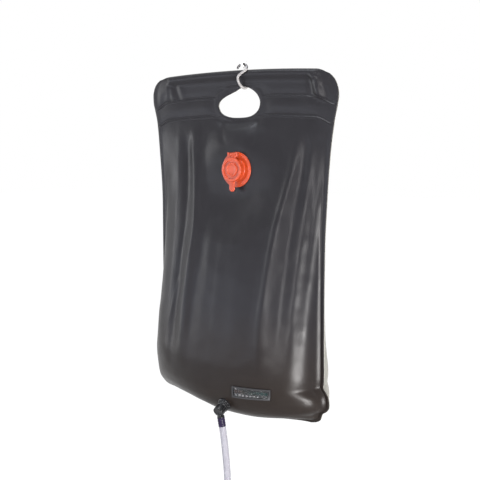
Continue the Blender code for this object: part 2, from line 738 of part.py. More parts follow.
def make_filler_flange(front, material):
    """The flange and its neck, through the front panel."""
    low = GAP
    top = low + FLANGE_THICKNESS
    profile = (
        (NECK_BORE, NECK_RISE), (NECK_RADIUS, NECK_RISE), (NECK_RADIUS, top + NECK_FILLET),
        (NECK_RADIUS + NECK_FILLET, top), (FLANGE_RADIUS - NECK_FILLET / 2, top),
        (FLANGE_RADIUS, top - NECK_FILLET / 2), (FLANGE_RADIUS, low), (NECK_RADIUS, low),
        (NECK_RADIUS, -NECK_INSIDE), (NECK_BORE, -NECK_INSIDE),
    )
    turned("filler_flange", profile, filler_place(), FORWARD, VALVE_STEPS, material)
    bore = disc("filler_bore", NECK_RADIUS + GAP, -NECK_INSIDE, NECK_INSIDE,
                filler_place(), FORWARD, VALVE_STEPS, is_cutter=True)
    cut(front, bore)
    inside = -FILM - GAP
    profile = (
        (NECK_RADIUS + GAP, inside), (BACKING_RADIUS, inside),
        (BACKING_RADIUS, inside - BACKING_THICKNESS),
        (NECK_RADIUS + GAP, inside - BACKING_THICKNESS),
    )
    turned("filler_backing_ring", profile, filler_place(), FORWARD, VALVE_STEPS,
           finish("backing_plastic", (0.05, 0.05, 0.05), 0.5))


def cap_profile():
    """The cap's crown with its ring recess and dished middle, and its plug below."""
    under = NECK_RISE + 2 * GAP + SEAL_THICKNESS
    top = CAP_RISE
    floor = top - CAP_RECESS
    plug = NECK_BORE - PLUG_CLEARANCE
    end = NECK_RISE - PLUG_DEPTH
    hollow = plug - PLUG_WALL
    return (
        (0.0, top - CAP_DISH), (CAP_DISH_RADIUS, top - CAP_DISH),
        (CAP_DISH_RADIUS + CAP_DISH, top), (CAP_RECESS_INNER - CAP_CROWN / 2, top),
        (CAP_RECESS_INNER, top - CAP_CROWN / 2), (CAP_RECESS_INNER, floor),
        (CAP_RECESS_OUTER, floor), (CAP_RECESS_OUTER, top - CAP_CROWN / 2),
        (CAP_RECESS_OUTER + CAP_CROWN / 2, top), (CAP_RADIUS - CAP_CROWN, top),
        (CAP_RADIUS - CAP_CROWN / 3, top - CAP_CROWN / 3), (CAP_RADIUS, top - CAP_CROWN),
        (CAP_RADIUS, under + CAP_CROWN / 2), (CAP_RADIUS - CAP_CROWN / 2, under),
        (plug, under), (plug, end), (hollow, end), (hollow, floor - CAP_RECESS),
        (0.0, floor - CAP_RECESS),
    )


def hinge_place():
    return filler_place() + FORWARD * HINGE_RISE - DOWN * HINGE_DROP


def make_filler_cap(material):
    """The cap with its pull tab, and the ribbed strap that runs to its knuckle."""
    cap = turned("filler_cap", cap_profile(), filler_place(), FORWARD, VALVE_STEPS, material)
    tab_end = TAB_REACH - TAB_WIDTH / 2
    start = CAP_RADIUS - TAB_OVERLAP
    loop = [(TAB_WIDTH / 2, -start), (-TAB_WIDTH / 2, -start)]
    for k in range(9):
        angle = math.radians(180 + 180 * k / 8)
        loop.append((TAB_WIDTH / 2 * math.cos(angle), TAB_WIDTH / 2 * math.sin(angle) - tab_end))
    upright = Matrix.Rotation(math.radians(90), 4, "X")
    middle = filler_place() + FORWARD * (CAP_RISE - TAB_BACK - TAB_THICKNESS / 2)
    cut(cap, cutter(flat_outline("pull_tab", [loop], TAB_THICKNESS, middle, upright)), "UNION")
    strap_low = CAP_RADIUS - TAB_OVERLAP
    strap_size = (KNUCKLE_WIDTH, STRAP_THICKNESS, HINGE_DROP - strap_low)
    strap_place = hinge_place() + DOWN * (HINGE_DROP - strap_low) / 2
    strap_place += FORWARD * (HINGE_KNUCKLE_RADIUS - STRAP_THICKNESS / 2)
    cut(cap, cutter(box("strap", strap_size, strap_place)), "UNION")
    sideways = Vector((1.0, 0.0, 0.0))
    half = KNUCKLE_WIDTH / 2
    knuckle = disc("knuckle", HINGE_KNUCKLE_RADIUS, -half, half, hinge_place(), sideways,
                   OUTLET_STEPS, is_cutter=True)
    cut(cap, knuckle, "UNION")
    for k in range(RIB_COUNT):
        across = KNUCKLE_WIDTH * ((k + 0.5) / RIB_COUNT - 0.5)
        size = (RIB_WIDTH, 2 * RIB_RISE, strap_size[2])
        place = strap_place + FORWARD * STRAP_THICKNESS / 2 + sideways * across
        cut(cap, cutter(box(f"strap_rib_{k + 1}", size, place)), "UNION")
    bore = disc("knuckle_bore", HINGE_PIN_RADIUS + GAP, -HINGE_WIDTH, HINGE_WIDTH,
                hinge_place(), sideways, OUTLET_STEPS, is_cutter=True)
    cut(cap, bore)
    low = NECK_RISE + GAP
    inner = NECK_BORE
    outer = inner + SEAL_WIDTH
    profile = ((inner, low + SEAL_THICKNESS), (outer, low + SEAL_THICKNESS), (outer, low),
               (inner, low))
    turned("cap_seal", profile, filler_place(), FORWARD, VALVE_STEPS,
           finish("seal_rubber", (0.03, 0.03, 0.03), 0.7))


def make_filler_hinge(material):
    """The block on the flange with a cheek at each side of the knuckle, and the pin."""
    seat = GAP + FLANGE_THICKNESS + GAP
    sideways = Vector((1.0, 0.0, 0.0))
    room = HINGE_KNUCKLE_RADIUS + 2 * GAP
    height = HINGE_RISE + HINGE_KNUCKLE_RADIUS - seat
    size = (HINGE_WIDTH, height, CHEEK_DEPTH)
    place = filler_place() + FORWARD * (seat + height / 2) - DOWN * HINGE_DROP
    block = keep(box("filler_hinge_block", size, place), material)
    slot_size = (KNUCKLE_WIDTH + 4 * GAP, 2 * room, 2 * CHEEK_DEPTH)
    slot = cutter(box("hinge_slot", slot_size, hinge_place()))
    cut(block, slot)
    deep = box("hinge_slot_mouth", slot_size, hinge_place() + FORWARD * room)
    cut(block, cutter(deep))
    bore = disc("cheek_bore", HINGE_PIN_RADIUS + GAP, -HINGE_WIDTH, HINGE_WIDTH,
                hinge_place(), sideways, OUTLET_STEPS, is_cutter=True)
    cut(block, bore)
    disc("filler_hinge_pin", HINGE_PIN_RADIUS, -HINGE_WIDTH / 2, HINGE_WIDTH / 2, hinge_place(),
         sideways, ROD_SIDES, finish("pin_steel", (0.6, 0.6, 0.6), 0.3, metallic=1.0))


# Outlet. Heights stand off the outer face of the front panel along the outlet's axis


def outlet_axis():
    slope = math.radians(OUTLET_SLOPE)
    return Vector((0.0, -math.cos(slope), -math.sin(slope)))


def outlet_place():
    return on_front(OUTLET_X, BAG_TOP - OUTLET_DROP, 0.0)


def make_outlet_flange(front, material):
    """The flange let into the film, with the boss that carries the nut."""
    profile = (
        (0.0, BOSS_RISE), (BOSS_RADIUS, BOSS_RISE), (BOSS_RADIUS, OUTLET_FLANGE_RISE),
        (OUTLET_FLANGE_RADIUS - WASHER_THICKNESS, OUTLET_FLANGE_RISE),
        (OUTLET_FLANGE_RADIUS, OUTLET_FLANGE_RISE - WASHER_THICKNESS),
        (OUTLET_FLANGE_RADIUS, -OUTLET_FLANGE_SINK), (0.0, -OUTLET_FLANGE_SINK),
    )
    place, axis = outlet_place(), outlet_axis()
    turned("outlet_flange", profile, place, axis, OUTLET_STEPS, material)
    tool = disc("outlet_bore", OUTLET_FLANGE_RADIUS + GAP, -2 * OVERRUN, 2 * OVERRUN, place, axis,
                OUTLET_STEPS, is_cutter=True)
    cut(front, tool)
    low = BOSS_RISE + GAP
    outer = BOSS_RADIUS - GAP
    profile = ((WASHER_BORE, low + WASHER_THICKNESS), (outer, low + WASHER_THICKNESS),
               (outer, low), (WASHER_BORE, low))
    turned("outlet_washer", profile, place, axis, OUTLET_STEPS,
           finish("washer_rubber", (0.03, 0.03, 0.03), 0.7))


def make_outlet_nut(material):
    """The ribbed nut that draws the elbow's collar on to the boss."""
    low = OUTLET_FLANGE_RISE + GAP
    lip = BOSS_RISE + WASHER_THICKNESS + COLLAR_THICKNESS + 3 * GAP
    bore = BOSS_RADIUS + GAP
    mouth = ELBOW_RADIUS + GAP
    top = lip + NUT_LIP
    profile = (
        (mouth, top), (NUT_RADIUS - NUT_LIP, top), (NUT_RADIUS, top - NUT_LIP), (NUT_RADIUS, low),
        (bore, low), (bore, lip), (mouth, lip),
    )
    nut = turned("outlet_nut", profile, outlet_place(), outlet_axis(), 2 * NUT_RIBS, material)
    turn = turn_to(outlet_axis())
    for k in range(NUT_RIBS):
        spin = Matrix.Rotation(2 * math.pi * k / NUT_RIBS, 4, "Z")
        offset = turn @ spin @ Vector((NUT_RADIUS, 0.0, (low + top) / 2))
        size = (2 * NUT_RIB_DEPTH, NUT_RIB_WIDTH, top - low - 2 * NUT_LIP)
        cut(nut, cutter(box(f"nut_groove_{k + 1}", size, outlet_place() + offset, turn @ spin)))


def elbow_centre():
    return outlet_place() + outlet_axis() * ELBOW_RISE


def barb_start():
    return elbow_centre() + HOSE_DIRECTION * (ELBOW_LEG + SHOULDER_THICKNESS)


def make_outlet_elbow(material):
    """The elbow: a bent tube with a collar under the nut, a round body, and its barbs."""
    axis = outlet_axis()
    base = BOSS_RISE + WASHER_THICKNESS + 2 * GAP
    start = outlet_place() + axis * base
    centre = elbow_centre()
    reach = ELBOW_RADIUS * ELBOW_BEND_SHARE
    line = [start + axis * COLLAR_THICKNESS / 2, centre - axis * reach]
    for k in range(1, 6):
        t = k / 6
        line.append((1 - t) ** 2 * (centre - axis * reach) + 2 * t * (1 - t) * centre
                    + t ** 2 * (centre + HOSE_DIRECTION * reach))
    line.append(centre + HOSE_DIRECTION * reach)
    line.append(centre + HOSE_DIRECTION * (ELBOW_LEG + SHOULDER_THICKNESS / 2))
    elbow = tube("outlet_elbow", line, ELBOW_RADIUS, None, resolution=3)
    bpy.context.view_layer.update()
    elbow = as_mesh(elbow)
    elbow.data.materials.append(material)
    elbow.data.shade_smooth()
    collar = disc("collar", COLLAR_RADIUS, base, base + COLLAR_THICKNESS, outlet_place(), axis,
                  OUTLET_STEPS, is_cutter=True)
    cut(elbow, collar, "UNION")
    low = base + COLLAR_THICKNESS + NUT_LIP + 2 * GAP
    high, chamfer = ELBOW_BODY_END, ELBOW_BODY_CHAMFER
    profile = ((0.0, high), (ELBOW_BODY_RADIUS - chamfer, high), (ELBOW_BODY_RADIUS, high - chamfer),
               (ELBOW_BODY_RADIUS, low + chamfer / 2), (ELBOW_BODY_RADIUS - chamfer / 2, low),
               (0.0, low))
    body = turned("elbow_body", profile, outlet_place(), axis, OUTLET_STEPS, is_cutter=True)
    cut(elbow, body, "UNION")
    foot = elbow_centre() + HOSE_DIRECTION * ELBOW_LEG
    profile = [(0.0, BARB_PITCH * BARB_COUNT + SHOULDER_THICKNESS)]
    for k in reversed(range(BARB_COUNT)):
        high = SHOULDER_THICKNESS + BARB_PITCH * (k + 1)
        profile += [(BARB_ROOT, high), (BARB_TIP, high - 0.7 * BARB_PITCH)]
        profile += [(BARB_ROOT, high - 0.9 * BARB_PITCH)]
    profile += [(BARB_ROOT, SHOULDER_THICKNESS), (SHOULDER_RADIUS, SHOULDER_THICKNESS),
                (SHOULDER_RADIUS, 0.0), (ELBOW_RADIUS / 2, -SHOULDER_THICKNESS),
                (0.0, -SHOULDER_THICKNESS)]
    barb = turned("barb", profile, foot, HOSE_DIRECTION, OUTLET_STEPS, is_cutter=True)
    cut(elbow, barb, "UNION")
    end = BARB_PITCH * BARB_COUNT + SHOULDER_THICKNESS
    bore = disc("barb_bore", ELBOW_BORE, SHOULDER_THICKNESS, end + OVERRUN, foot, HOSE_DIRECTION,
                ROD_SIDES, is_cutter=True)
    cut(elbow, bore)


# Hose, coil, tie and shower head


def hose_line():
    """The free hose from the end of its cuff to the start of the coil."""
    start = barb_start() + HOSE_DIRECTION * (CUFF_LENGTH + GAP)
    straight = start + HOSE_DIRECTION * HOSE_RADIUS
    route = [outlet_place() + Vector(offset) for offset in HOSE_ROUTE]
    return [start, *smooth_line([straight, *route], HOSE_SPACING)]


def coil_line():
    """One turn of the coil, with a straight run into it and out of it."""
    top = hose_line()[-1] + DOWN * GAP
    run = 2 * HOSE_RADIUS
    middle = top + DOWN * run + Vector((COIL_RADIUS, 0.0, 0.0))
    line = [top, top + DOWN * run / 2]
    for k in range(COIL_LOOP_POINTS + 1):
        angle = math.pi + 2 * math.pi * k / COIL_LOOP_POINTS
        back = COIL_PITCH * ease(0.0, 1.0, k / COIL_LOOP_POINTS)
        offset = Vector((COIL_RADIUS * math.cos(angle), back, COIL_RADIUS * math.sin(angle)))
        line.append(middle + offset)
    return [*line, line[-1] + DOWN * COIL_END_RUN / 2, line[-1] + DOWN * COIL_END_RUN]


def least_gap(line, radius):
    """The least gap between stretches of a cord that aren't next to each other."""
    travelled = [0.0]
    for first, second in zip(line, line[1:]):
        travelled.append(travelled[-1] + (second - first).length)
    best = math.inf
    for i, first in enumerate(line):
        for k in range(i + 1, len(line)):
            if travelled[k] - travelled[i] > 4 * math.pi * radius:
                best = min(best, (line[k] - first).length)
    return best - 2 * radius


def make_hose():
    """The hose from its barb down, its put-away turn and the tie round both strands."""
    clear = finish("clear_hose", (0.62, 0.60, 0.70), 0.2, clear=0.6)
    profile = ((CUFF_BORE, CUFF_LENGTH), (CUFF_RADIUS, CUFF_LENGTH), (CUFF_RADIUS, GAP),
               (CUFF_BORE, GAP))
    turned("hose_cuff", profile, barb_start(), HOSE_DIRECTION, OUTLET_STEPS, clear)
    tube("hose", hose_line(), HOSE_RADIUS, clear, resolution=3)
    coil = coil_line()
    tube("hose_coil", coil, HOSE_RADIUS, clear, resolution=1)
    print(f"hose coil: least gap to itself {least_gap(coil, HOSE_RADIUS) * 1000:.2f} mm")
    reach = HOSE_RADIUS + TIE_CLEARANCE
    loops = []
    for radius in (reach + TIE_THICKNESS, reach):
        loop = []
        for side, centre in ((0, COIL_PITCH / 2), (1, -COIL_PITCH / 2)):
            for k in range(TIE_CORNERS + 1):
                angle = math.pi * (side + k / TIE_CORNERS)
                loop.append((radius * math.cos(angle), centre + radius * math.sin(angle)))
        loops.append(loop)
    place = coil[2] + Vector((0.0, COIL_PITCH / 2, 0.0))
    tie = flat_outline("hose_tie", loops, TIE_HEIGHT, place, Matrix.Identity(4))
    keep(tie, finish("tie_plastic", (0.06, 0.06, 0.06), 0.5))


def head_place():
    return coil_line()[-1]


def make_head():
    """The shower head: a grip and stem, and a rose that is pulled down to open."""
    grip = finish("head_black", (0.03, 0.03, 0.035), 0.4)
    rose = finish("rose_red", (0.80, 0.09, 0.03), 0.35)
    place = head_place()
    profile = [(0.0, HEAD_STEM_END), (HEAD_STEM_RADIUS - HEAD_CHAMFER, HEAD_STEM_END),
               (HEAD_STEM_RADIUS, HEAD_STEM_END - HEAD_CHAMFER),
               (HEAD_STEM_RADIUS, HEAD_GRIP_LENGTH),
               (HEAD_GRIP_RADIUS - HEAD_CHAMFER, HEAD_GRIP_LENGTH),
               (HEAD_GRIP_RADIUS, HEAD_GRIP_LENGTH - HEAD_CHAMFER)]
    span = HEAD_GRIP_LENGTH - HEAD_SOCKET_LENGTH - 4 * HEAD_CHAMFER
    pitch = span / HEAD_GROOVES
    for k in range(HEAD_GROOVES):
        high = HEAD_GRIP_LENGTH - 2 * HEAD_CHAMFER - pitch * (k + 0.5)
        profile += [(HEAD_GRIP_RADIUS, high + pitch / 4), (HEAD_GRIP_RADIUS - HEAD_GROOVE, high),
                    (HEAD_GRIP_RADIUS, high - pitch / 4)]
    profile += [(HEAD_GRIP_RADIUS, HEAD_SOCKET_LENGTH + HEAD_CHAMFER),
                (HEAD_SOCKET_RADIUS, HEAD_SOCKET_LENGTH - HEAD_CHAMFER),
                (HEAD_SOCKET_RADIUS, GAP + HEAD_CHAMFER / 2),
                (HEAD_SOCKET_RADIUS - HEAD_CHAMFER / 2, GAP), (0.0, GAP)]
    turned("head_body", profile, place, DOWN, HEAD_STEPS, grip)
    bore = HEAD_STEM_RADIUS + 2 * HEAD_SEAL_RADIUS + 2 * GAP
    ring = [(HEAD_STEM_RADIUS + GAP + HEAD_SEAL_RADIUS * (1 + math.cos(a)),
             HEAD_SEAL_DROP - HEAD_SEAL_RADIUS * math.sin(a))
            for a in (2 * math.pi * k / 8 for k in range(8))]
    turned("head_seal", ring, place, DOWN, HEAD_STEPS,
           finish("head_seal_rubber", (0.02, 0.02, 0.02), 0.7))
    inside = ROSE_RADIUS - ROSE_WALL
    profile = (
        (bore, ROSE_NECK_END + ROSE_WALL), (inside, ROSE_SHOULDER), (inside, ROSE_END),
        (ROSE_RADIUS - HEAD_CHAMFER / 2, ROSE_END), (ROSE_RADIUS, ROSE_END - HEAD_CHAMFER / 2),
        (ROSE_RADIUS, ROSE_SHOULDER + HEAD_CHAMFER),
        (ROSE_RADIUS - HEAD_CHAMFER, ROSE_SHOULDER - HEAD_CHAMFER),
        (ROSE_NECK_RADIUS + HEAD_CHAMFER, ROSE_NECK_END + HEAD_CHAMFER),
        (ROSE_NECK_RADIUS, ROSE_NECK_END - HEAD_CHAMFER),
        (ROSE_NECK_RADIUS, HEAD_GRIP_LENGTH + GAP + HEAD_CHAMFER),
        (ROSE_NECK_RADIUS - HEAD_CHAMFER, HEAD_GRIP_LENGTH + GAP), (bore, HEAD_GRIP_LENGTH + GAP),
    )
    turned("spray_rose", profile, place, DOWN, HEAD_STEPS, rose)
    middle = place + DOWN * (ROSE_END - PLATE_SET_BACK - PLATE_THICKNESS / 2)
    plate = keep(cylinders("spray_plate", ((0.0, 0.0),), inside - GAP, PLATE_THICKNESS, middle,
                           HEAD_STEPS), finish("plate_black", (0.03, 0.03, 0.035), 0.4))
    spots = []
    for count, radius in SPRAY_RINGS:
        for k in range(count):
            angle = 2 * math.pi * k / count
            spots.append((radius * math.cos(angle), radius * math.sin(angle)))
    cut(plate, cutter(cylinders("spray_holes", spots, SPRAY_HOLE, 3 * PLATE_THICKNESS, middle, 6)))


# Thermometer, curved to the panel


def strip(name, low, high, length, height, material, border=0.0):
    """A strip that follows the front panel between two stand-offs, or only its border."""
    mesh = bpy.data.meshes.new(name)
    shape = bmesh.new()
    bmesh.ops.create_grid(shape, x_segments=THERMO_COLUMNS, y_segments=THERMO_ROWS, size=1.0)

    def spread(share, segments, size):
        """Puts the outermost line of cells at the border's width."""
        if not border:
            return share * size / 2
        cell = round((share + 1) / 2 * segments)
        if cell in (0, segments):
            return share * size / 2
        inner = size / 2 - border
        return mix(-inner, inner, (cell - 1) / (segments - 2))

    if border:
        inside = [f for f in shape.faces if not any(e.is_boundary for e in f.edges)]
        bmesh.ops.delete(shape, geom=inside, context="FACES")
    for vert in shape.verts:
        x = THERMO_X + spread(vert.co.x, THERMO_COLUMNS, length)
        z = THERMO_Z + spread(vert.co.y, THERMO_ROWS, height)
        vert.co = on_front(x, z, low)
    shape.to_mesh(mesh)
    shape.free()
    obj = keep(bpy.data.objects.new(name, mesh), material)
    body = obj.modifiers.new("thickness", "SOLIDIFY")
    body.thickness = high - low
    body.offset = 1.0
    body.use_even_offset = True
    return obj


def make_thermometer():
    """The backing strip, its raised frame and the window over the scale."""
    low = STRIP_STANDOFF
    top = low + THERMO_THICKNESS
    strip("thermometer_strip", low, top, THERMO_LENGTH, THERMO_HEIGHT,
          finish("strip_black", (0.02, 0.02, 0.02), 0.4))
    strip("thermometer_frame", top + GAP, top + GAP + THERMO_FRAME_RISE, THERMO_LENGTH,
          THERMO_HEIGHT, finish("frame_black", (0.03, 0.03, 0.03), 0.45), border=THERMO_BORDER)
    inset = 2 * (THERMO_BORDER + 2 * GAP)
    strip("thermometer_window", top + GAP, top + GAP + THERMO_WINDOW_THICKNESS,
          THERMO_LENGTH - inset, THERMO_HEIGHT - inset,
          finish("window_clear", (0.8, 0.85, 0.9), 0.05, clear=0.9))


# Cord and hook


def knot(name, place, radius, height, turns, material):
    """A knot as its wraps, turned about the cord."""
    wrap = height / turns
    profile = [(0.0, height / 2)]
    for k in range(turns):
        middle = height / 2 - wrap * (k + 0.5)
        for angle in (70, 25, -25, -70):
            turn = math.radians(angle)
            reach = radius - wrap / 2 * (1 - math.cos(turn))
            profile.append((reach, middle + wrap / 2 * math.sin(turn)))
    profile.append((0.0, -height / 2))
    turned(name, profile, Vector(place), -DOWN, ROD_SIDES, material)


def make_hanging():
    """The eye, its knot, the doubled cord, and the wire hook that goes round the sleeve."""
    white = finish("white_cord", (0.82, 0.82, 0.80), 0.8)
    tube("hanging_cord", smooth_line(CORD_ROUTE, CORD_SPACING), CORD_RADIUS, white)
    tube("hanging_eye", smooth_line(EYE_ROUTE, CORD_SPACING), CORD_RADIUS, white)
    knot("hanging_knot", (0.0, 0.0, KNOT_Z), KNOT_RADIUS, KNOT_HEIGHT, KNOT_TURNS, white)
    tube("hanging_hook", smooth_line(HOOK_ROUTE, HOOK_SPACING), HOOK_WIRE,
         finish("bright_steel", (0.72, 0.72, 0.73), 0.2, metallic=1.0), resolution=2)


def main():
    start_collections()
    front = make_bag()
    red = finish("valve_red", (0.80, 0.07, 0.02), 0.35)
    make_filler_flange(front, red)
    make_filler_cap(red)
    make_filler_hinge(red)
    black = finish("outlet_black", (0.02, 0.02, 0.022), 0.3)
    make_outlet_flange(front, black)
    make_outlet_nut(black)
    make_outlet_elbow(black)
    make_hose()
    make_head()
    make_thermometer()
    make_hanging()


main()
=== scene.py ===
"""Looks for a camp shower bag, full of water and hanging by its cord.

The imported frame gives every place. The bag's two films, its valve, outlet, hose, shower head and
cord are modelled again here with their folds, welds, fillets and braid.
"""

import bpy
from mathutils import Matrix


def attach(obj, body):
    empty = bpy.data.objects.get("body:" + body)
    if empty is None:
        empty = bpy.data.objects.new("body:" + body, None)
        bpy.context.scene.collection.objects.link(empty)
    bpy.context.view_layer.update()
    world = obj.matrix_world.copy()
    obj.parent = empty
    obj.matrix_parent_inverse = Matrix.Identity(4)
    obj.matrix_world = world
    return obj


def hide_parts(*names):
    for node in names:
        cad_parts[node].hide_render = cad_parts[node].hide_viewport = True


bl_info = {
    "name": "Camp shower bag",
    "version": (1, 0, 0),
    "blender": (4, 5, 0),
    "location": "View3D > Sidebar > Shower bag",
    "description": "Models the looks of a camp shower bag round its frame",
    "category": "Add Mesh",
}

import math
from functools import lru_cache

import bmesh
import bpy
from bpy.props import FloatProperty, FloatVectorProperty, PointerProperty
from bpy.types import Operator, Panel, PropertyGroup
from mathutils import Matrix, Vector, noise

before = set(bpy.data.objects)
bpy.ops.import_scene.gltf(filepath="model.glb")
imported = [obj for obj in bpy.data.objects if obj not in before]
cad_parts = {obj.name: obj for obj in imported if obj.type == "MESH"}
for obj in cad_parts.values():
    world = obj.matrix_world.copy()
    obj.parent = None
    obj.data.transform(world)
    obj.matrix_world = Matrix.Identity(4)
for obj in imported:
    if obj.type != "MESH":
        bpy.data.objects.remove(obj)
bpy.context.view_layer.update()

GAP = 0.0003
TINY = 0.00001
DOWN = Vector((0.0, 0.0, -1.0))
FORWARD = Vector((0.0, -1.0, 0.0))
SIDEWAYS = Vector((1.0, 0.0, 0.0))

# Bag, the same shape as its solids
BAG_X = -0.010
BAG_Y = 0.003
BAG_TOP = -0.1634
BAG_HEIGHT = 0.580
BAG_HALF_WIDTH = 0.191
FILM = 0.0008
WELD_WIDTH = 0.008
SEAM_1_DROP = 0.0425
SEAM_2_DROP = 0.0748
BELLY_HEIGHT = BAG_HEIGHT - WELD_WIDTH - SEAM_2_DROP
BAND_PUFF = 0.002
EAR_PUFF = 0.006
EAR_ROUNDNESS = 0.6
FRONT_BULGE = 0.0815
BACK_BULGE = 0.094
CORNER_TUCK = 0.25
CORNER_LIFT = 0.026
SLEEVE_SAG = 0.0035
EAR_DROOP = 0.012
# How much of the droop the left and right ears have at their very top, and where it is full
EAR_TOP_SHARES = (0.4, 0.75)
EAR_TOP_RUN = 0.03
LEFT_EDGE_SHARES = (
    (0.0, 0.92), (0.0041, 0.947), (0.0081, 0.965), (0.0145, 0.983), (0.0213, 0.994),
    (0.032, 1.003), (0.050, 1.0), (0.076, 0.981),
    (0.117, 0.954), (0.218, 0.927), (0.39, 0.898), (0.62, 0.896), (0.75, 0.902), (0.85, 0.914),
    (0.925, 0.908), (0.96, 0.87), (0.988, 0.79), (1.0, 0.68),
)
RIGHT_EDGE_SHARES = (
    (0.0, 0.92), (0.0031, 0.942), (0.0108, 0.972), (0.018, 0.988), (0.0242, 0.997),
    (0.034, 1.007), (0.048, 1.011), (0.078, 0.998),
    (0.1225, 0.971), (0.2165, 0.938), (0.372, 0.908), (0.50, 0.891), (0.65, 0.888), (0.78, 0.890),
    (0.87, 0.893), (0.893, 0.886), (0.9054, 0.912), (0.9176, 0.936), (0.934, 0.946),
    (0.9457, 0.942), (0.9578, 0.918), (0.9685, 0.876), (0.9747, 0.871), (0.9859, 0.858),
    (0.9955, 0.818), (1.0, 0.765),
)
# How far the lower corners are drawn up, as shares of the lift, at shares of the half width to
# the left
CORNER_LIFT_SHARES = (
    (-1.0, -0.14), (-0.72, 0.06), (-0.35, -0.10), (-0.04, 0.0), (0.15, 0.29), (0.37, 0.56),
    (0.6, 0.68), (1.0, 0.3),
)
CORNER_LIFT_START_SHARE = 0.86
FRONT_BELLY_SHARES = (
    (0.0, 0.0), (0.061, 0.10), (0.123, 0.165), (0.186, 0.233), (0.307, 0.42), (0.45, 0.62),
    (0.61, 0.80), (0.76, 0.945), (0.84, 1.0), (0.90, 1.0), (0.94, 0.965), (0.961, 0.91),
    (0.975, 0.84), (0.9877, 0.71), (0.9969, 0.45), (1.0, 0.0),
)
BACK_BELLY_SHARES = (
    (0.0, 0.0), (0.061, 0.13), (0.186, 0.36), (0.40, 0.62), (0.61, 0.72), (0.74, 0.775),
    (0.86, 0.955), (0.895, 0.94), (0.92, 0.82), (0.94, 0.68), (0.961, 0.57), (0.975, 0.50),
    (0.9877, 0.42), (0.9969, 0.27), (1.0, 0.0),
)
# The right edge as the middle of the belly follows it, without the swollen corner
RIGHT_BELLY_SHARES = (
    (0.0, 1.0), (0.78, 0.890), (0.87, 0.893), (0.934, 0.892), (0.9578, 0.883), (0.9747, 0.868),
    (0.9859, 0.855), (0.9955, 0.818), (1.0, 0.765),
)
BELLY_POWER = (3.2, 2.6)
BELLY_FULLNESS = (0.95, 0.43)
# From where to where each of these takes effect: the belly's section and its tuck as shares of
# its own height, the rest as shares of the bag's height or half width
POWER_RUN = (0.0, 0.7)
FULLNESS_RUN = (0.1, 0.8)
TUCK_RUN = (0.78, 1.0)
TUCK_SIDE_RUN = (0.1, 1.0)
LOBE_RUN = (0.80, 0.87)
LOBE_SIDE_RUN = (0.72, 1.0)
SAG_RUN = (0.12, 0.36)
# From where to where the film leaves the hand hole's weld, where 1 is the weld's edge
HOLE_RUN = (1.0, 1.5)
HOLE_HALF_WIDTH = 0.043
HOLE_HEIGHT = 0.0515
HOLE_DROP = 0.027
HOLE_X = -0.0005
HOLE_SHARES = (
    (0.26, 0.0), (0.55, 0.07), (0.82, 0.22), (0.97, 0.40), (1.0, 0.58), (0.88, 0.80), (0.55, 0.96),
    (0.05, 1.0), (-0.48, 0.97), (-0.85, 0.84), (-1.0, 0.63), (-0.93, 0.45), (-0.66, 0.30),
    (-0.22, 0.16), (0.06, 0.05),
)
HOLE_WELD = 0.006
ROD_LENGTH = 0.266
SLEEVE_RADIUS = 0.0063
SLEEVE_TAIL_SHARES = ((1.0, 1.0), (1.6, 0.86), (2.3, 0.5), (3.4, 0.27), (5.0, 0.22))
ROD_COVER = 0.151
FILLER_SEAT = 0.019
FILLER_FLAT_RADIUS = 0.034
FILLER_BLEND_RADII = (0.085, 0.125)

# How fine the films are
SKIN_COLUMNS = 132
SKIN_ROW = 0.0026
SEAM_ROW = 0.0006
SEAM_REACH = 0.0035
BOTTOM_ROW = 0.0009
BOTTOM_REACH = 0.012
ROD_ROW_ANGLE = 6

# The main folds: each line's place across at three heights, as shares of the half width, and how
# far the front and the back stand out there
FOLD_HEIGHT_SHARES = (0.116, 0.39, 0.647)
FOLD_LINES = (
    ((-1.0, -1.0, -1.0), 0.0, 0.0),
    ((-0.975, -0.975, -0.970), 0.0, 0.0),
    ((-0.92, -0.90, -0.90), 0.0020, 0.0),
    ((-0.86, -0.80, -0.82), 0.0020, 0.0010),
    ((-0.77, -0.67, -0.69), 0.0012, -0.0012),
    ((-0.70, -0.615, -0.63), 0.0, 0.0008),
    ((-0.63, -0.555, -0.565), -0.0036, 0.0026),
    ((-0.51, -0.385, -0.41), 0.0046, -0.0022),
    ((-0.37, -0.26, -0.30), -0.0022, 0.0),
    ((-0.20, -0.13, -0.14), 0.0, 0.0018),
    ((-0.10, -0.06, -0.07), 0.0, 0.0),
    ((0.0, 0.0, 0.0), 0.0006, -0.0010),
    ((0.13, 0.11, 0.10), 0.0, 0.0),
    ((0.26, 0.22, 0.20), 0.0, 0.0014),
    ((0.40, 0.34, 0.31), -0.0008, 0.0),
    ((0.53, 0.46, 0.41), -0.0012, -0.0020),
    ((0.61, 0.53, 0.48), 0.0, 0.0026),
    ((0.705, 0.61, 0.56), 0.0036, 0.0),
    ((0.80, 0.745, 0.735), -0.0030, -0.0020),
    ((0.87, 0.85, 0.85), 0.0004, 0.0010),
    ((0.925, 0.92, 0.90), -0.0010, 0.0),
    ((0.96, 0.96, 0.95), 0.0008, 0.0),
    ((0.985, 0.985, 0.985), 0.0, 0.0),
    ((1.0, 1.0, 1.0), 0.0, 0.0),
)
FOLD_START_SHARES = (0.0, 0.14)
FOLD_END_SHARES = (0.66, 0.88)
FOLD_ROOM = 0.012
FOLD_SOFTNESS_SHARE = 0.8

# How much lower and wider the finer folds are made than their tables say, and over which shares of
# their run they rise and fade
FINE_FOLD_HEIGHT_SHARE = 0.75
FINE_FOLD_WIDTH_SHARE = 1.25
FINE_FOLD_START = (0.0, 0.16)
FINE_FOLD_END = (0.72, 1.0)
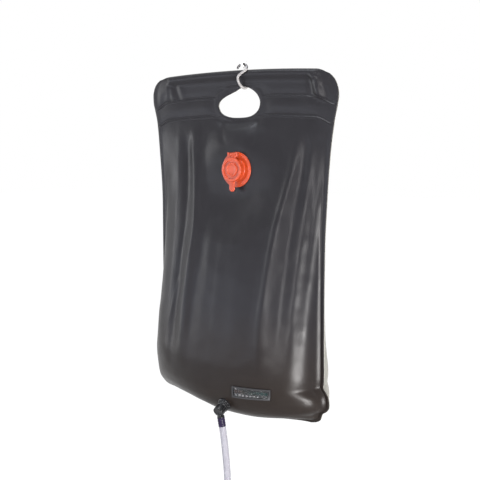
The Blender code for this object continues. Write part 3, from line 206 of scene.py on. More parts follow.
# Finer folds of the front film: how far each stands out, its half width, and where it runs as
# (z, x)
FRONT_FOLDS = (
    (0.0012, 0.0045, ((-0.240, -0.109), (-0.296, -0.100), (-0.365, -0.087), (-0.432, -0.076),
                      (-0.501, -0.081), (-0.552, -0.085), (-0.600, -0.089))),
    (-0.0010, 0.0045, ((-0.240, -0.130), (-0.296, -0.120), (-0.383, -0.111), (-0.461, -0.106),
                       (-0.528, -0.108), (-0.598, -0.117))),
    (0.0008, 0.0045, ((-0.240, -0.140), (-0.296, -0.136), (-0.360, -0.131), (-0.464, -0.124),
                      (-0.522, -0.122), (-0.590, -0.121))),
    (-0.0013, 0.0045, ((-0.240, -0.088), (-0.300, -0.084), (-0.347, -0.079), (-0.414, -0.0665),
                       (-0.482, -0.067), (-0.533, -0.069), (-0.588, -0.080))),
    (0.0010, 0.0028, ((-0.505, -0.101), (-0.563, -0.111), (-0.615, -0.122))),
    (0.0012, 0.0050, ((-0.290, 0.114), (-0.322, 0.109), (-0.376, 0.097), (-0.450, 0.085),
                      (-0.512, 0.080), (-0.577, 0.074), (-0.640, 0.077))),
    (-0.0008, 0.0045, ((-0.400, 0.114), (-0.440, 0.109), (-0.504, 0.106), (-0.567, 0.104),
                       (-0.630, 0.104))),
    (0.0006, 0.0040, ((-0.240, 0.136), (-0.344, 0.133), (-0.440, 0.130), (-0.503, 0.125),
                      (-0.559, 0.123), (-0.620, 0.124))),
    (-0.0006, 0.0030, ((-0.430, 0.138), (-0.497, 0.134), (-0.567, 0.130), (-0.610, 0.129))),
    (0.0003, 0.0060, ((-0.440, 0.148), (-0.504, 0.143), (-0.569, 0.139), (-0.650, 0.136))),
    (-0.0014, 0.0045, ((-0.241, -0.050), (-0.262, -0.042), (-0.292, -0.026))),
    (-0.0012, 0.0045, ((-0.241, 0.034), (-0.262, 0.029), (-0.292, 0.025))),
)
# Creases of the sleeve at the ends of its rod, the same way
SLEEVE_FOLDS = (
    (-0.0022, 0.0040, ((-0.176, -0.150), (-0.190, -0.146), (-0.208, -0.139))),
    (0.0022, 0.0052, ((-0.178, -0.160), (-0.192, -0.156), (-0.212, -0.150))),
    (0.0014, 0.0056, ((-0.180, -0.138), (-0.195, -0.133), (-0.214, -0.126))),
    (-0.0026, 0.0036, ((-0.170, 0.128), (-0.190, 0.131), (-0.216, 0.134))),
    (0.0052, 0.0070, ((-0.168, 0.138), (-0.188, 0.143), (-0.214, 0.152))),
    (-0.0012, 0.0060, ((-0.182, 0.155), (-0.196, 0.162), (-0.212, 0.166))),
    (-0.0012, 0.0060, ((-0.186, -0.172), (-0.198, -0.176), (-0.214, -0.178))),
)
BACK_FOLDS = (
    (-0.0012, 0.0050, ((-0.243, -0.050), (-0.275, -0.030), (-0.310, -0.018))),
    (-0.0012, 0.0050, ((-0.243, 0.034), (-0.275, 0.020), (-0.310, 0.010))),
    (0.0010, 0.0050, ((-0.260, -0.118), (-0.400, -0.104), (-0.560, -0.106))),
    (0.0010, 0.0050, ((-0.260, 0.100), (-0.400, 0.084), (-0.560, 0.070))),
)

# Weld lines, the film's own thickness and its ripples
SEAM_GROOVE = 0.0004
SEAM_LIP = 0.0012
SEAM_HALF_WIDTH = 0.0013
SEAM_DOUBLE = 0.0030
SKIN = 0.00032
# How far a groove may go back towards the middle plane, as a share of the film's stand-off
INWARD_SHARE = 0.9
RIPPLE = 0.0006
RIPPLE_SIZE = 0.045
SMALL_RIPPLE_SIZE = RIPPLE_SIZE / 2.3
# Where the folds and ripples fade: in from the edges and the bottom, round the thermometer, and
# out from the filler and the hand hole as shares of their radii. The hole's rim stands out
EDGE_FADE = 2.5 * WELD_WIDTH
BOTTOM_FADE = 0.03
THERMO_FADE = 0.012
FILLER_FADE_SHARE = 1.4
HOLE_FADE_SHARE = 1.25
HOLE_RIM_SHARE = 0.06
WARM_START_DROP = 0.30

# Filler valve. Heights stand off the film's outer face
FILLER_X = -0.001
FILLER_Z = -0.3286
FLANGE_RADIUS = 0.0295
FLANGE_THICKNESS = 0.0022
NECK_RADIUS = 0.0177
NECK_BORE = 0.0152
NECK_RISE = 0.008
NECK_INSIDE = 0.009
CAP_RADIUS = 0.0200
CAP_RISE = 0.0165
TAB_WIDTH = 0.011
TAB_REACH = 0.0365
HINGE_DROP = 0.0252
HINGE_RISE = 0.0098
KNUCKLE_WIDTH = 0.0125
KNUCKLE_RADIUS = 0.0029
KNUCKLE_BORE = 0.0014
FLANGE_BEAD_RADII = (0.0225, 0.0230, 0.0262, 0.0267)
FLANGE_BEAD = 0.0004
SEAL_ROOM = 0.001
CAP_CROWN = 0.0024
CAP_DISH_RADIUS = 0.0070
CAP_DISH = 0.0010
CAP_RING_RADII = (0.0088, 0.0112, 0.0114, 0.0156, 0.0158)
CAP_RECESS = 0.0024
PLUG_CLEARANCE = 0.0005
PLUG_DEPTH = 0.0052
PLUG_WALL = 0.0018
TAB_THICKNESS = 0.0022
TAB_SET_BACK = 0.0022
TAB_RIDGE = (0.0074, 0.0010, 0.0008)
TAB_RIDGE_COUNT = 3
TAB_RIDGE_START = 0.0034
TAB_RIDGE_STEP = 0.0022
CAP_OVERLAP = 0.0010
STRAP_THICKNESS = 0.0030
STRAP_RIB_COUNT = 4
STRAP_RIB_WIDTH = 0.0012
STRAP_RIB_DEPTH = 0.0020
STRAP_RIB_LIFT = 0.0013
STRAP_RIB_DROP = 0.0008

# Outlet
OUTLET_X = 0.0145
OUTLET_DROP = 0.9491 * BAG_HEIGHT
OUTLET_SLOPE = 28.0
FLANGE_RISE = 0.0016
BOSS_RISE = 0.0045
WASHER_THICKNESS = 0.0008
ELBOW_BASE = BOSS_RISE + WASHER_THICKNESS + 2 * GAP
COLLAR_THICKNESS = 0.0010
COLLAR_RADIUS = 0.0062
COLLAR_BORE = 0.0030
NUT_RADIUS = 0.0100
NUT_BORE = 0.0066 + GAP
NUT_LIP = 0.0015
NUT_TOP_BLEND = 0.8 * NUT_LIP
NUT_FOOT = 0.0006
NUT_FOOT_HEIGHT = 0.0008
NUT_FOOT_BLEND = 0.0004
NUT_GROOVE_COUNT = 16
NUT_GROOVE = 0.0006
ELBOW_RADIUS = 0.0050
ELBOW_RISE = 0.0145
ELBOW_LEG = 0.0100
ELBOW_BEND_SHARE = 0.9
ELBOW_BODY_RADIUS = 0.0092
ELBOW_BODY_END = 0.0205
ELBOW_FOOT = 0.0002
ELBOW_DISH_RADII = (0.0062, 0.0066)
ELBOW_DISH = 0.0006
SHOULDER_THICKNESS = 0.0016
SHOULDER_RADIUS = 0.0062
SHOULDER_ROUNDING = 0.0002
SHOULDER_BLEND = 0.0012
BARB_ROOT = 0.0041
BARB_TIP = 0.0048
BARB_COUNT = 3
BARB_PITCH = 0.0045
BARB_FOOT_SHARE = 0.1
BARB_TIP_SHARE = 0.3

# Hose
HOSE_RADIUS = 0.00575
CUFF_LENGTH = 0.0155
CUFF_RADIUS = 0.0063
HOSE_DIRECTION = Vector((0.115, 0.10, -1.0)).normalized()
# Where the hose goes below its cuff, measured from the outlet
HOSE_ROUTE = (
    (0.0044, -0.0068, -0.0566), (0.0048, -0.0052, -0.0706), (0.0052, -0.0034, -0.0850),
    (0.0056, -0.0018, -0.1006), (0.0060, -0.0004, -0.1186), (0.0063, 0.0005, -0.1386),
    (0.0064, 0.0009, -0.1598), (0.0064, 0.0010, -0.1800),
)
HOSE_SPACING = 0.004
COIL_RADIUS = 0.0625
COIL_PITCH = 0.0125
COIL_LOOP_POINTS = 96
COIL_END_RUN = 0.031
TIE_HEIGHT = 0.006
TIE_THICKNESS = 0.0012
TIE_CLEARANCE = 0.0005
TIE_CATCH = (0.0030, 0.0070, 0.0074)
TIE_CATCH_OUT = 0.0012
CUFF_ROW = 0.0004
CUFF_SWELL = 0.00015

# Shower head, its heights measured down from the end of the hose
HEAD_SOCKET_RADIUS = 0.0078
HEAD_SOCKET_LENGTH = 0.009
HEAD_GRIP_RADIUS = 0.0105
HEAD_GRIP_LENGTH = 0.034
HEAD_STEM_RADIUS = 0.0062
HEAD_STEM_END = 0.052
ROSE_NECK_RADIUS = 0.0125
ROSE_NECK_END = 0.048
ROSE_RADIUS = 0.0245
ROSE_SHOULDER = 0.066
ROSE_END = 0.0745
ROSE_BORE = 0.0084
ROSE_WALL = 0.0018
GRIP_GROOVE_COUNT = 4
GRIP_GROOVE = 0.0008
GRIP_GROOVE_MARGIN = 0.002
SOCKET_BLEND = 0.001
ROSE_GROOVE_COUNT = 12
ROSE_GROOVE = 0.0005
ROSE_GROOVE_REACH = 0.0008

# Thermometer
THERMO_X = 0.068
THERMO_Z = -0.6880
THERMO_LENGTH = 0.066
THERMO_HEIGHT = 0.0175
THERMO_LIFT = 0.0016
THERMO_MARGIN = 0.0045
INK_LIFT = 0.00012
FIGURE_SIZE = 0.003888
FIGURE_V = -0.0042
UNIT_SIZE = 0.003402
UNIT_V = 0.0052
UNIT_IN = 0.0020
SCALE_IN = 0.0025
CELL_HALF_WIDTH = 0.0026
CELL_ENDS = (-0.0010, 0.0034)
CELL_LIFT = 0.0001
COLD_TINT = (0.040, 0.026, 0.024)
WARM_TINT = (0.010, 0.036, 0.034)
SCALE_START = 15
SCALE_STEP = 5
SCALE_COUNT = 9

# Hanging cord, eye, knot and hook
CORD_RADIUS = 0.002
KNOT_Z = -0.0546
KNOT_HEIGHT = 0.020
KNOT_RADIUS = 0.0058
KNOT_TURNS = 3.5
KNOT_POINTS = 160
STRAND_APART = 0.0045
KNOT_STRAND_APART = 0.0022
KNOT_STRAND_STRAIGHT = 0.004
# Front halves of the cord's and the eye's routes as (y, z). The back halves are the same
CORD_HALF_ROUTE = (
    (-STRAND_APART, KNOT_Z - KNOT_HEIGHT / 2 - GAP), (-0.0045, -0.0900), (-0.0045, -0.1150),
    (-0.0045, -0.1380), (-0.0046, -0.1490), (-0.0046, -0.1535), (-0.0032, -0.1566),
    (0.0, -0.1579),
)
EYE_HALF_ROUTE = (
    (-STRAND_APART, KNOT_Z + KNOT_HEIGHT / 2 + GAP), (-0.0055, -0.0380), (-0.0085, -0.0270),
    (-0.0105, -0.0160), (-0.0096, -0.0065), (-0.0055, 0.0002), (0.0, 0.0020),
)
HOOK_WIRE = 0.0019
HOOK_ROUTE = (
    (-0.0102, -0.0032, -0.1612), (-0.0086, -0.0020, -0.1572), (-0.0048, -0.0006, -0.1541),
    (0.0, 0.0, -0.1531), (0.0048, -0.0002, -0.1546), (0.0080, -0.0010, -0.1580),
    (0.0086, -0.0030, -0.1618), (0.0058, -0.0056, -0.1654), (0.0008, -0.0073, -0.1690),
    (-0.0040, -0.0078, -0.1725), (-0.0058, -0.0077, -0.1775), (-0.0042, -0.0070, -0.1840),
    (-0.0014, -0.0040, -0.1900), (0.0004, 0.0012, -0.1929), (0.0010, 0.0066, -0.1921),
    (0.0010, 0.0112, -0.1882), (0.0010, 0.0136, -0.1822), (0.0010, 0.0138, -0.1760),
)
HOOK_TIP_SHARE = 0.06
HOOK_SLEEVE = 0.0002
SLEEVE_TOP = -0.1610
CORD_STEP = 0.0005
BRAID_STRANDS = 4
BRAID_PITCH = 0.011
BRAID_DEPTH_SHARE = 0.07
BRAID_RIDGE_SHARE = 0.4 * BRAID_DEPTH_SHARE

# Camera, fitted to the photograph, and what stands round the bag
CAMERA_AZIMUTH = 36.0
CAMERA_PITCH = 5.395
CAMERA_DISTANCE = 1.62
CAMERA_CENTRE = Vector((-0.004, 0.008, -0.296))
CAMERA_FOCAL_PX = 953.0
CAMERA_SHIFT_PX = -4.2
PICTURE_PX = 480
SENSOR_MM = 36.0
CAMERA_CLIP = 0.05
FLOOR_Z = -1.14
FLOOR_SIZE = 14.0
FLOOR_COLOUR = (0.86, 0.86, 0.86)
FLOOR_GLOW = 1.14
FLOOR_GLOW_SHARE = 0.82
WORLD_COLOUR = (0.93, 0.95, 1.0)
WORLD_STRENGTH = 0.45

# The lamps' target, and each lamp's name, place, size, power and colour
LAMP_TARGET = Vector((0.0, 0.0, -0.45))
LAMPS = (
    ("key", (1.86, -0.90, -0.88), (0.7, 0.40), 60.0, (1.0, 0.98, 0.97)),
    ("side", (-1.66, -0.70, -0.25), (0.4, 1.0), 7.5, (0.97, 0.98, 1.0)),
    ("front", (-0.70, -1.00, 1.75), (0.7, 0.5), 20.0, (0.84, 0.91, 1.0)),
    ("middle", (-1.10, -1.55, -0.48), (1.5, 0.45), 6.0, (0.80, 0.86, 1.0)),
    ("right", (0.62, -1.90, -0.26), (0.45, 0.6), 13.0, (1.0, 0.98, 0.98)),
    ("top", (0.1, -0.5, 1.5), (1.4, 1.0), 26.0, (0.95, 0.97, 1.0)),
    ("back", (0.9, 1.8, 0.1), (1.2, 1.4), 9.0, (1.0, 1.0, 1.0)),
)


class ShowerBagSettings(PropertyGroup):
    """Sizes and colours of the bag's looks that a user may change."""

    fold_depth: FloatProperty(
        name="Fold depth", description="How deep the folds of the films are", default=1.0,
        min=0.0, max=2.0, subtype="FACTOR",
    )
    film_grain: FloatProperty(
        name="Film grain", description="Depth of the grain on the black film", default=0.00012,
        min=0.0, max=0.001, unit="LENGTH", precision=5,
    )
    film_roughness: FloatProperty(
        name="Film roughness", description="How matt the black film is", default=0.33,
        min=0.0, max=1.0, subtype="FACTOR",
    )
    film_colour: FloatVectorProperty(
        name="Film colour", description="Colour of the front film",
        default=(0.0120, 0.0112, 0.0135), size=3, min=0.0, max=1.0, subtype="COLOR",
    )
    film_warm_colour: FloatVectorProperty(
        name="Warm film colour", description="Colour of the front film near the bottom",
        default=(0.0130, 0.0092, 0.0075), size=3, min=0.0, max=1.0, subtype="COLOR",
    )
    back_colour: FloatVectorProperty(
        name="Back colour", description="Colour of the pale back film",
        default=(0.215, 0.207, 0.179), size=3, min=0.0, max=1.0, subtype="COLOR",
    )
    valve_colour: FloatVectorProperty(
        name="Valve colour", description="Colour of the filler valve",
        default=(0.40, 0.047, 0.012), size=3, min=0.0, max=1.0, subtype="COLOR",
    )
    hose_colour: FloatVectorProperty(
        name="Hose colour", description="Tint of the clear hose",
        default=(0.34, 0.333, 0.372), size=3, min=0.0, max=1.0, subtype="COLOR",
    )
    cord_colour: FloatVectorProperty(
        name="Cord colour", description="Colour of the braided cord",
        default=(0.93, 0.93, 0.91), size=3, min=0.0, max=1.0, subtype="COLOR",
    )


def settings():
    return bpy.context.scene.shower_bag


# Curves through tables and routes


def along(table, place):
    """A smooth curve through pairs of place and value that never overshoots them."""
    if place <= table[0][0]:
        return table[0][1]
    if place >= table[-1][0]:
        return table[-1][1]
    last = len(table) - 1
    after = next(i for i in range(1, last + 1) if table[i][0] >= place)

    def rise(i):
        return (table[i + 1][1] - table[i][1]) / (table[i + 1][0] - table[i][0])

    def slope(i):
        if i in (0, last):
            return rise(min(i, last - 1))
        before, beyond = rise(i - 1), rise(i)
        return 0.0 if before * beyond <= 0 else 2 * before * beyond / (before + beyond)

    low, high = table[after - 1], table[after]
    step = high[0] - low[0]
    t = (place - low[0]) / step
    value = low[1] + (high[1] - low[1]) * t * t * (3 - 2 * t)
    value += step * slope(after - 1) * t * (1 - t) ** 2
    return value - step * slope(after) * t * t * (1 - t)


def ease(low, high, value):
    """Goes smoothly from 0 at low to 1 at high."""
    t = min(max((value - low) / (high - low), 0.0), 1.0)
    return t * t * (3 - 2 * t)


def mix(first, second, share):
    return first + (second - first) * share


def between(before, first, second, after, t):
    """A point from first to second on the smooth curve through four points."""
    return 0.5 * (2 * first + (second - before) * t
                  + (2 * before - 5 * first + 4 * second - after) * t ** 2
                  + (3 * first - before - 3 * second + after) * t ** 3)


def rounded(start, corner, end, t):
    """A point from start to end on the round stretch that takes a corner."""
    return (1 - t) ** 2 * start + 2 * t * (1 - t) * corner + t * t * end


def smooth_line(route, spacing):
    """Points at about the given spacing on a smooth curve through a route's own points."""
    route = [Vector(p) for p in route]
    ends = [2 * route[0] - route[1], *route, 2 * route[-1] - route[-2]]
    steps = 24
    fine = [between(*ends[i - 1 : i + 3], k / steps)
            for i in range(1, len(ends) - 2) for k in range(steps)]
    fine.append(route[-1])
    travelled = [0.0]
    for first, second in zip(fine, fine[1:]):
        travelled.append(travelled[-1] + (second - first).length)
    count = max(2, round(travelled[-1] / spacing))
    line = []
    k = 0
    for i in range(count + 1):
        goal = travelled[-1] * i / count
        while k < len(fine) - 2 and travelled[k + 1] < goal:
            k += 1
        run = travelled[k + 1] - travelled[k]
        line.append(fine[k].lerp(fine[k + 1], min((goal - travelled[k]) / run, 1.0)))
    return line


def length_of(line):
    return sum((second - first).length for first, second in zip(line, line[1:]))


# Pieces


def turn_to(direction):
    """The rotation that takes +Z to a direction."""
    return Vector((0.0, 0.0, 1.0)).rotation_difference(direction).to_matrix().to_4x4()


def add_object(name, data, matrix=None):
    """An object of a mesh, curve, lamp or camera, linked to the scene."""
    obj = bpy.data.objects.new(name, data)
    if matrix:
        obj.matrix_world = matrix
    bpy.context.scene.collection.objects.link(obj)
    return obj


def sheet(name, shape, material, matrix=None):
    """An object from a bmesh as it is, with its material."""
    mesh = bpy.data.meshes.new(name)
    shape.to_mesh(mesh)
    shape.free()
    mesh.materials.append(material)
    return add_object(name, mesh, matrix)


def solid(name, shape, material, matrix=None, smooth_angle=40.0):
    """An object from a closed bmesh, its faces turned outward and its shading smooth."""
    bmesh.ops.recalc_face_normals(shape, faces=shape.faces)
    obj = sheet(name, shape, material, matrix)
    obj.data.shade_smooth()
    obj.data.set_sharp_from_angle(angle=math.radians(smooth_angle))
    return obj


def seat(obj, body, slot, *nodes):
    """Puts a piece on its body and hides the solids that it stands for. The slot is not used."""
    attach(obj, body)
    if nodes:
        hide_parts(*nodes)
    return obj


def dress(name, material, bevel=0.0):
    """Gives a solid that stays in view its material, and rounded edges if asked for."""
    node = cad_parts[name]
    node.data.materials.clear()
    node.data.materials.append(material)
    if bevel:
        edge = node.modifiers.new("edges", "BEVEL")
        edge.width = bevel
        edge.segments = 3
        edge.limit_method = "ANGLE"
        edge.angle_limit = math.radians(40)


def made_mesh(obj):
    """The mesh that an object's modifiers or letters make."""
    graph = bpy.context.evaluated_depsgraph_get()
    return bpy.data.meshes.new_from_object(obj.evaluated_get(graph))


def filleted(points, steps=4):
    """A profile of (radius, height) from corners of (radius, height, fillet)."""
    profile = []
    for i, (radius, height, fillet) in enumerate(points):
        corner = Vector((radius, height))
        if not fillet or i in (0, len(points) - 1):
            profile.append(tuple(corner))
            continue
        before = Vector(points[i - 1][:2]) - corner
        after = Vector(points[i + 1][:2]) - corner
        reach = min(fillet, before.length * 0.5, after.length * 0.5)
        start = corner + before.normalized() * reach
        end = corner + after.normalized() * reach
        profile += [tuple(rounded(start, corner, end, k / steps)) for k in range(steps + 1)]
    return profile


def ring_profile(bore, radius, low, high, fillet):
    """The profile of a ring, with its two outer edges rounded."""
    return filleted(((bore, high, 0), (radius, high, fillet), (radius, low, fillet),
                     (bore, low, 0)))


def circle(count):
    """Angles all the way round."""
    return [2 * math.pi * k / count for k in range(count)]


def bridge(shape, first, second):
    """Faces between two rings of points, either of which may be a single point."""
    count = max(len(first), len(second))
    for k in range(count):
        after = (k + 1) % count
        corners = (first[k % len(first)], first[after % len(first)],
                   second[after % len(second)], second[k % len(second)])
        shape.faces.new(tuple(dict.fromkeys(corners)))


def lathe(name, profile, place, direction, material, steps=96, flute=None):
    """A turned piece, closed on itself where its profile starts off the axis.

    A flute gives the depth cut into a point at an angle, radius and height.
    """
    shape = bmesh.new()
    rings = []
    for radius, height in profile:
        ring = []
        for angle in circle(steps if radius > 0 else 1):
            reach = radius - (flute(angle, radius, height) if flute else 0.0)
            ring.append(shape.verts.new((reach * math.cos(angle), reach * math.sin(angle), height)))
        rings.append(ring)
    for first, second in zip(rings, rings[1:]):
        bridge(shape, first, second)
    if len(rings[0]) > 1:
        bridge(shape, rings[-1], rings[0])
    return solid(name, shape, material, Matrix.Translation(place) @ turn_to(direction))


def swept(name, line, radii, material, sides=24, relief=None):
    """A tube along a line, of a radius at each point. A relief gives a share of it at a run."""
    shape = bmesh.new()
    tangent = (line[1] - line[0]).normalized()
    across = tangent.orthogonal().normalized()
    rings = []
    run = 0.0
    for i, point in enumerate(line):
        ahead = (line[min(i + 1, len(line) - 1)] - line[max(i - 1, 0)]).normalized()
        across = tangent.rotation_difference(ahead) @ across
        tangent = ahead
        upright = tangent.cross(across)
        if i:
            run += (point - line[i - 1]).length
        ring = []
        for angle in circle(sides):
            reach = radii[i] * (relief(run, angle) if relief else 1.0)
            turned = across * (reach * math.cos(angle)) + upright * (reach * math.sin(angle))
            ring.append(shape.verts.new(point + turned))
        rings.append(ring)
    for first, second in zip(rings, rings[1:]):
        bridge(shape, first, second)
    shape.faces.new(rings[0])
    shape.faces.new(rings[-1])
    return solid(name, shape, material, smooth_angle=50.0)


def round_edges(shape, edges, radius):
    bmesh.ops.bevel(shape, geom=edges, offset=radius, segments=3, affect="EDGES", profile=0.5)


def rounded_box(name, size, place, radius, material):
    shape = bmesh.new()
    bmesh.ops.create_cube(shape, size=1.0, matrix=Matrix.Diagonal((*size, 1.0)))
    round_edges(shape, shape.edges[:], radius)
    return solid(name, shape, material, Matrix.Translation(place))


def pulled(shape, loop, direction):
    """The solid that a loop of points leaves when it is pulled along a direction."""
    face = shape.faces.new([shape.verts.new(point) for point in loop])
    made = bmesh.ops.extrude_face_region(shape, geom=[face])
    far = [v for v in made["geom"] if isinstance(v, bmesh.types.BMVert)]
    bmesh.ops.translate(shape, verts=far, vec=direction)


# Finishes


def add_node(tree, kind, inputs, operation=None):
    """A node with each input, by name or number, set to a value or linked to an output."""
    made = tree.nodes.new(kind)
    if operation:
        made.operation = operation
    for socket, value in inputs.items():
        if isinstance(value, bpy.types.NodeSocket):
            tree.links.new(value, made.inputs[socket])
        else:
            made.inputs[socket].default_value = value
    return made


class Finish:
    """A Principled material, with methods that add detail to it from noise in object space."""

    def __init__(self, name, colour, roughness, metallic=0.0, clear=0.0, specular=0.5, ior=1.5):
        self.material = bpy.data.materials.new(name)
        self.material.use_nodes = True
        self.tree = self.material.node_tree
        self.shader = self.tree.nodes["Principled BSDF"]
        self.colour = tuple(colour)
        self.roughness = roughness
        values = {"Base Color": (*self.colour, 1.0), "Roughness": roughness,
                  "Metallic": metallic, "Transmission Weight": clear,
                  "Specular IOR Level": specular, "IOR": ior}
        for socket, value in values.items():
            self.shader.inputs[socket].default_value = value

    def place(self):
        return self.tree.nodes.new("ShaderNodeTexCoord").outputs["Object"]

    def noise(self, scale, detail=3.0):
        inputs = {"Scale": scale, "Detail": detail, "Vector": self.place()}
        return add_node(self.tree, "ShaderNodeTexNoise", inputs).outputs["Fac"]

    def add_bump(self, scale, distance, detail=3.0):
        """One more layer of bump."""
        inputs = {"Distance": distance, "Strength": 1.0, "Height": self.noise(scale, detail)}
        bump = add_node(self.tree, "ShaderNodeBump", inputs)
        socket = self.shader.inputs["Normal"]
        if socket.is_linked:
            self.tree.links.new(socket.links[0].from_socket, bump.inputs["Normal"])
        self.tree.links.new(bump.outputs["Normal"], socket)

    def add_wear(self, scale, below, above, detail=3.0):
        """Spreads the roughness from so much below to so much above its own value."""
        spread = add_node(self.tree, "ShaderNodeMapRange", {
            "Value": self.noise(scale, detail), "From Min": 0.3, "From Max": 0.7,
            "To Min": self.roughness - below, "To Max": self.roughness + above,
        })
        self.tree.links.new(spread.outputs["Result"], self.shader.inputs["Roughness"])

    def add_colours(self, factor, *stops):
        """Drives the colour through a ramp of (place, colour)."""
        ramp = add_node(self.tree, "ShaderNodeValToRGB", {"Fac": factor})
        elements = ramp.color_ramp.elements
        while len(elements) < len(stops):
            elements.new(0.5)
        for element, (place, colour) in zip(elements, stops):
            element.position = place
            element.color = (*colour, 1.0)
        self.tree.links.new(ramp.outputs["Color"], self.shader.inputs["Base Color"])

    def add_patches(self, scale, *stops, detail=3.0):
        """Patches of the colour's own shares, as (place, share)."""
        shades = [(place, tuple(min(c * share, 1.0) for c in self.colour))
                  for place, share in stops]
        self.add_colours(self.noise(scale, detail), *shades)


def black_film():
    """Soft black film with a fine grain and slow ripples, warmer towards the bottom."""
    look = settings()
    made = Finish("black_film", look.film_colour, look.film_roughness, specular=0.21)
    place = add_node(made.tree, "ShaderNodeSeparateXYZ", {"Vector": made.place()})
    drop = add_node(made.tree, "ShaderNodeMapRange", {
        "Value": place.outputs["Z"], "From Min": BAG_TOP - WARM_START_DROP,
        "From Max": BAG_TOP - BAG_HEIGHT,
    })
    blend = add_node(made.tree, "ShaderNodeMath",
                     {0: made.noise(7.0), 1: 0.35, 2: drop.outputs["Result"]}, "MULTIPLY_ADD")
    darker = tuple(0.92 * c for c in look.film_colour)
    made.add_colours(blend.outputs["Value"], (0.12, darker), (0.45, look.film_colour),
                     (1.0, look.film_warm_colour))
    made.add_wear(28.0, 0.04, 0.06)
    made.add_bump(24.0, 0.0006, 4.0)
    made.add_bump(900.0, look.film_grain, 2.0)
    return made.material


def pale_film():
    """Pale back film with cloudy patches."""
    made = Finish("pale_film", settings().back_colour, 0.32)
    made.add_patches(9.0, (0.3, 0.86), (0.6, 1.0))
    made.add_wear(30.0, 0.03, 0.04)
    made.add_bump(26.0, 0.0006, 4.0)
    made.add_bump(700.0, 0.0001, 2.0)
    return made.material


def moulded(name, colour, roughness, **inputs):
    """Moulded plastic with a fine spark-eroded grain and a slightly uneven colour."""
    made = Finish(name, colour, roughness, **inputs)
    made.add_patches(60.0, (0.25, 0.9), (0.75, 1.06))
    made.add_wear(220.0, 0.05, 0.07)
    made.add_bump(1800.0, 0.00005, 2.0)
    return made.material


def red_plastic():
    """Valve red, through which a little light spreads."""
    made = moulded("red_plastic", settings().valve_colour, 0.30)
    shader = made.node_tree.nodes["Principled BSDF"]
    shader.inputs["Subsurface Weight"].default_value = 0.05
    shader.inputs["Subsurface Radius"].default_value = (0.002, 0.0006, 0.0003)
    return made


def clear_hose(name, colour, clear, ior):
    """Clear soft tube with a tint and faint patches."""
    made = Finish(name, colour, 0.16, clear=clear, ior=ior)
    made.add_patches(90.0, (0.3, 0.93), (0.7, 1.05))
    made.add_wear(150.0, 0.0, 0.08)
    made.add_bump(120.0, 0.00015)
    return made.material


def braided_cord():
    """White cord with a fibrous grain and faint grey patches."""
    made = Finish("braided_cord", settings().cord_colour, 0.78, specular=0.25)
    made.shader.inputs["Sheen Weight"].default_value = 0.25
    made.add_patches(500.0, (0.3, 0.92), (0.65, 1.0), detail=5.0)
    made.add_bump(2600.0, 0.00003, 4.0)
    return made.material


def steel(name, colour, roughness):
    """Wire with a fine, uneven polish."""
    made = Finish(name, colour, roughness, metallic=1.0)
    made.add_wear(700.0, 0.06, 0.12, 4.0)
    made.add_bump(1500.0, 0.00002)
    return made.material


def window_film():
    """Clear window with faint smears."""
    made = Finish("window_film", (0.9, 0.93, 0.95), 0.05, clear=1.0, ior=1.12)
    made.add_wear(120.0, 0.02, 0.09)
    return made.material


# The bag's films


def edges(drop):
    """The left and right edges of the bag at a drop."""
    share = drop / BAG_HEIGHT
    left = -BAG_HALF_WIDTH * along(LEFT_EDGE_SHARES, share)
    return left, BAG_HALF_WIDTH * along(RIGHT_EDGE_SHARES, share)


def hole_reach(x, drop):
    """How far a place is from the middle of the hand hole, where 1 is on its edge."""
    middle = HOLE_DROP + HOLE_HEIGHT / 2
    across = (x - HOLE_X) / (HOLE_HALF_WIDTH + HOLE_WELD)
    down = (drop - middle) / (HOLE_HEIGHT / 2 + HOLE_WELD)
    return math.hypot(across, down)


def sleeve_depth(x, drop, across):
    """The sleeve's stand-off: round the rod, slack below it, and puffed in the ears."""
    if drop < SLEEVE_RADIUS:
        over_rod = math.sqrt(max(SLEEVE_RADIUS ** 2 - (SLEEVE_RADIUS - drop) ** 2, 0.0))
    else:
        tail = (*SLEEVE_TAIL_SHARES, (SEAM_1_DROP / SLEEVE_RADIUS, 0.0))
        over_rod = SLEEVE_RADIUS * along(tail, drop / SLEEVE_RADIUS)
    up = math.sin(math.pi * min(max(drop / SEAM_1_DROP, 0.0), 1.0)) ** EAR_ROUNDNESS
    ear = EAR_PUFF * up * max(1 - abs(across) ** 6, 0.0)
    out = mix(over_rod, ear, ease(ROD_COVER, ROD_COVER + SLEEVE_RADIUS, abs(x)))
    return out * min((1 - min(abs(across), 1.0)) * BAG_HALF_WIDTH / SLEEVE_RADIUS, 1.0)


def belly_depth(across, drop, shares, bulge):
    """The belly's stand-off, fuller the lower it is, and tucked in at the lower left."""
    share = (drop - SEAM_2_DROP) / BELLY_HEIGHT
    power = mix(*BELLY_POWER, ease(*POWER_RUN, share))
    fullness = mix(*BELLY_FULLNESS, ease(*FULLNESS_RUN, share))
    section = max(1 - abs(across) ** power, 0.0) ** fullness
    tuck = CORNER_TUCK * ease(*TUCK_RUN, share) * ease(*TUCK_SIDE_RUN, -across)
    return bulge * along(shares, share) * section * (1 - tuck)


@lru_cache(maxsize=None)
def fold_lines(drop, is_front):
    """Where each fold line is across the belly at a drop, and how far it stands out."""
    share = (drop - SEAM_2_DROP) / BELLY_HEIGHT
    rise = ease(*FOLD_START_SHARES, share) * (1 - ease(*FOLD_END_SHARES, share))
    rise *= FOLD_SOFTNESS_SHARE
    lines = []
    for places, front, back in FOLD_LINES:
        across = along(tuple(zip(FOLD_HEIGHT_SHARES, places)), share)
        lines.append((across, rise * (front if is_front else back)))
    return lines


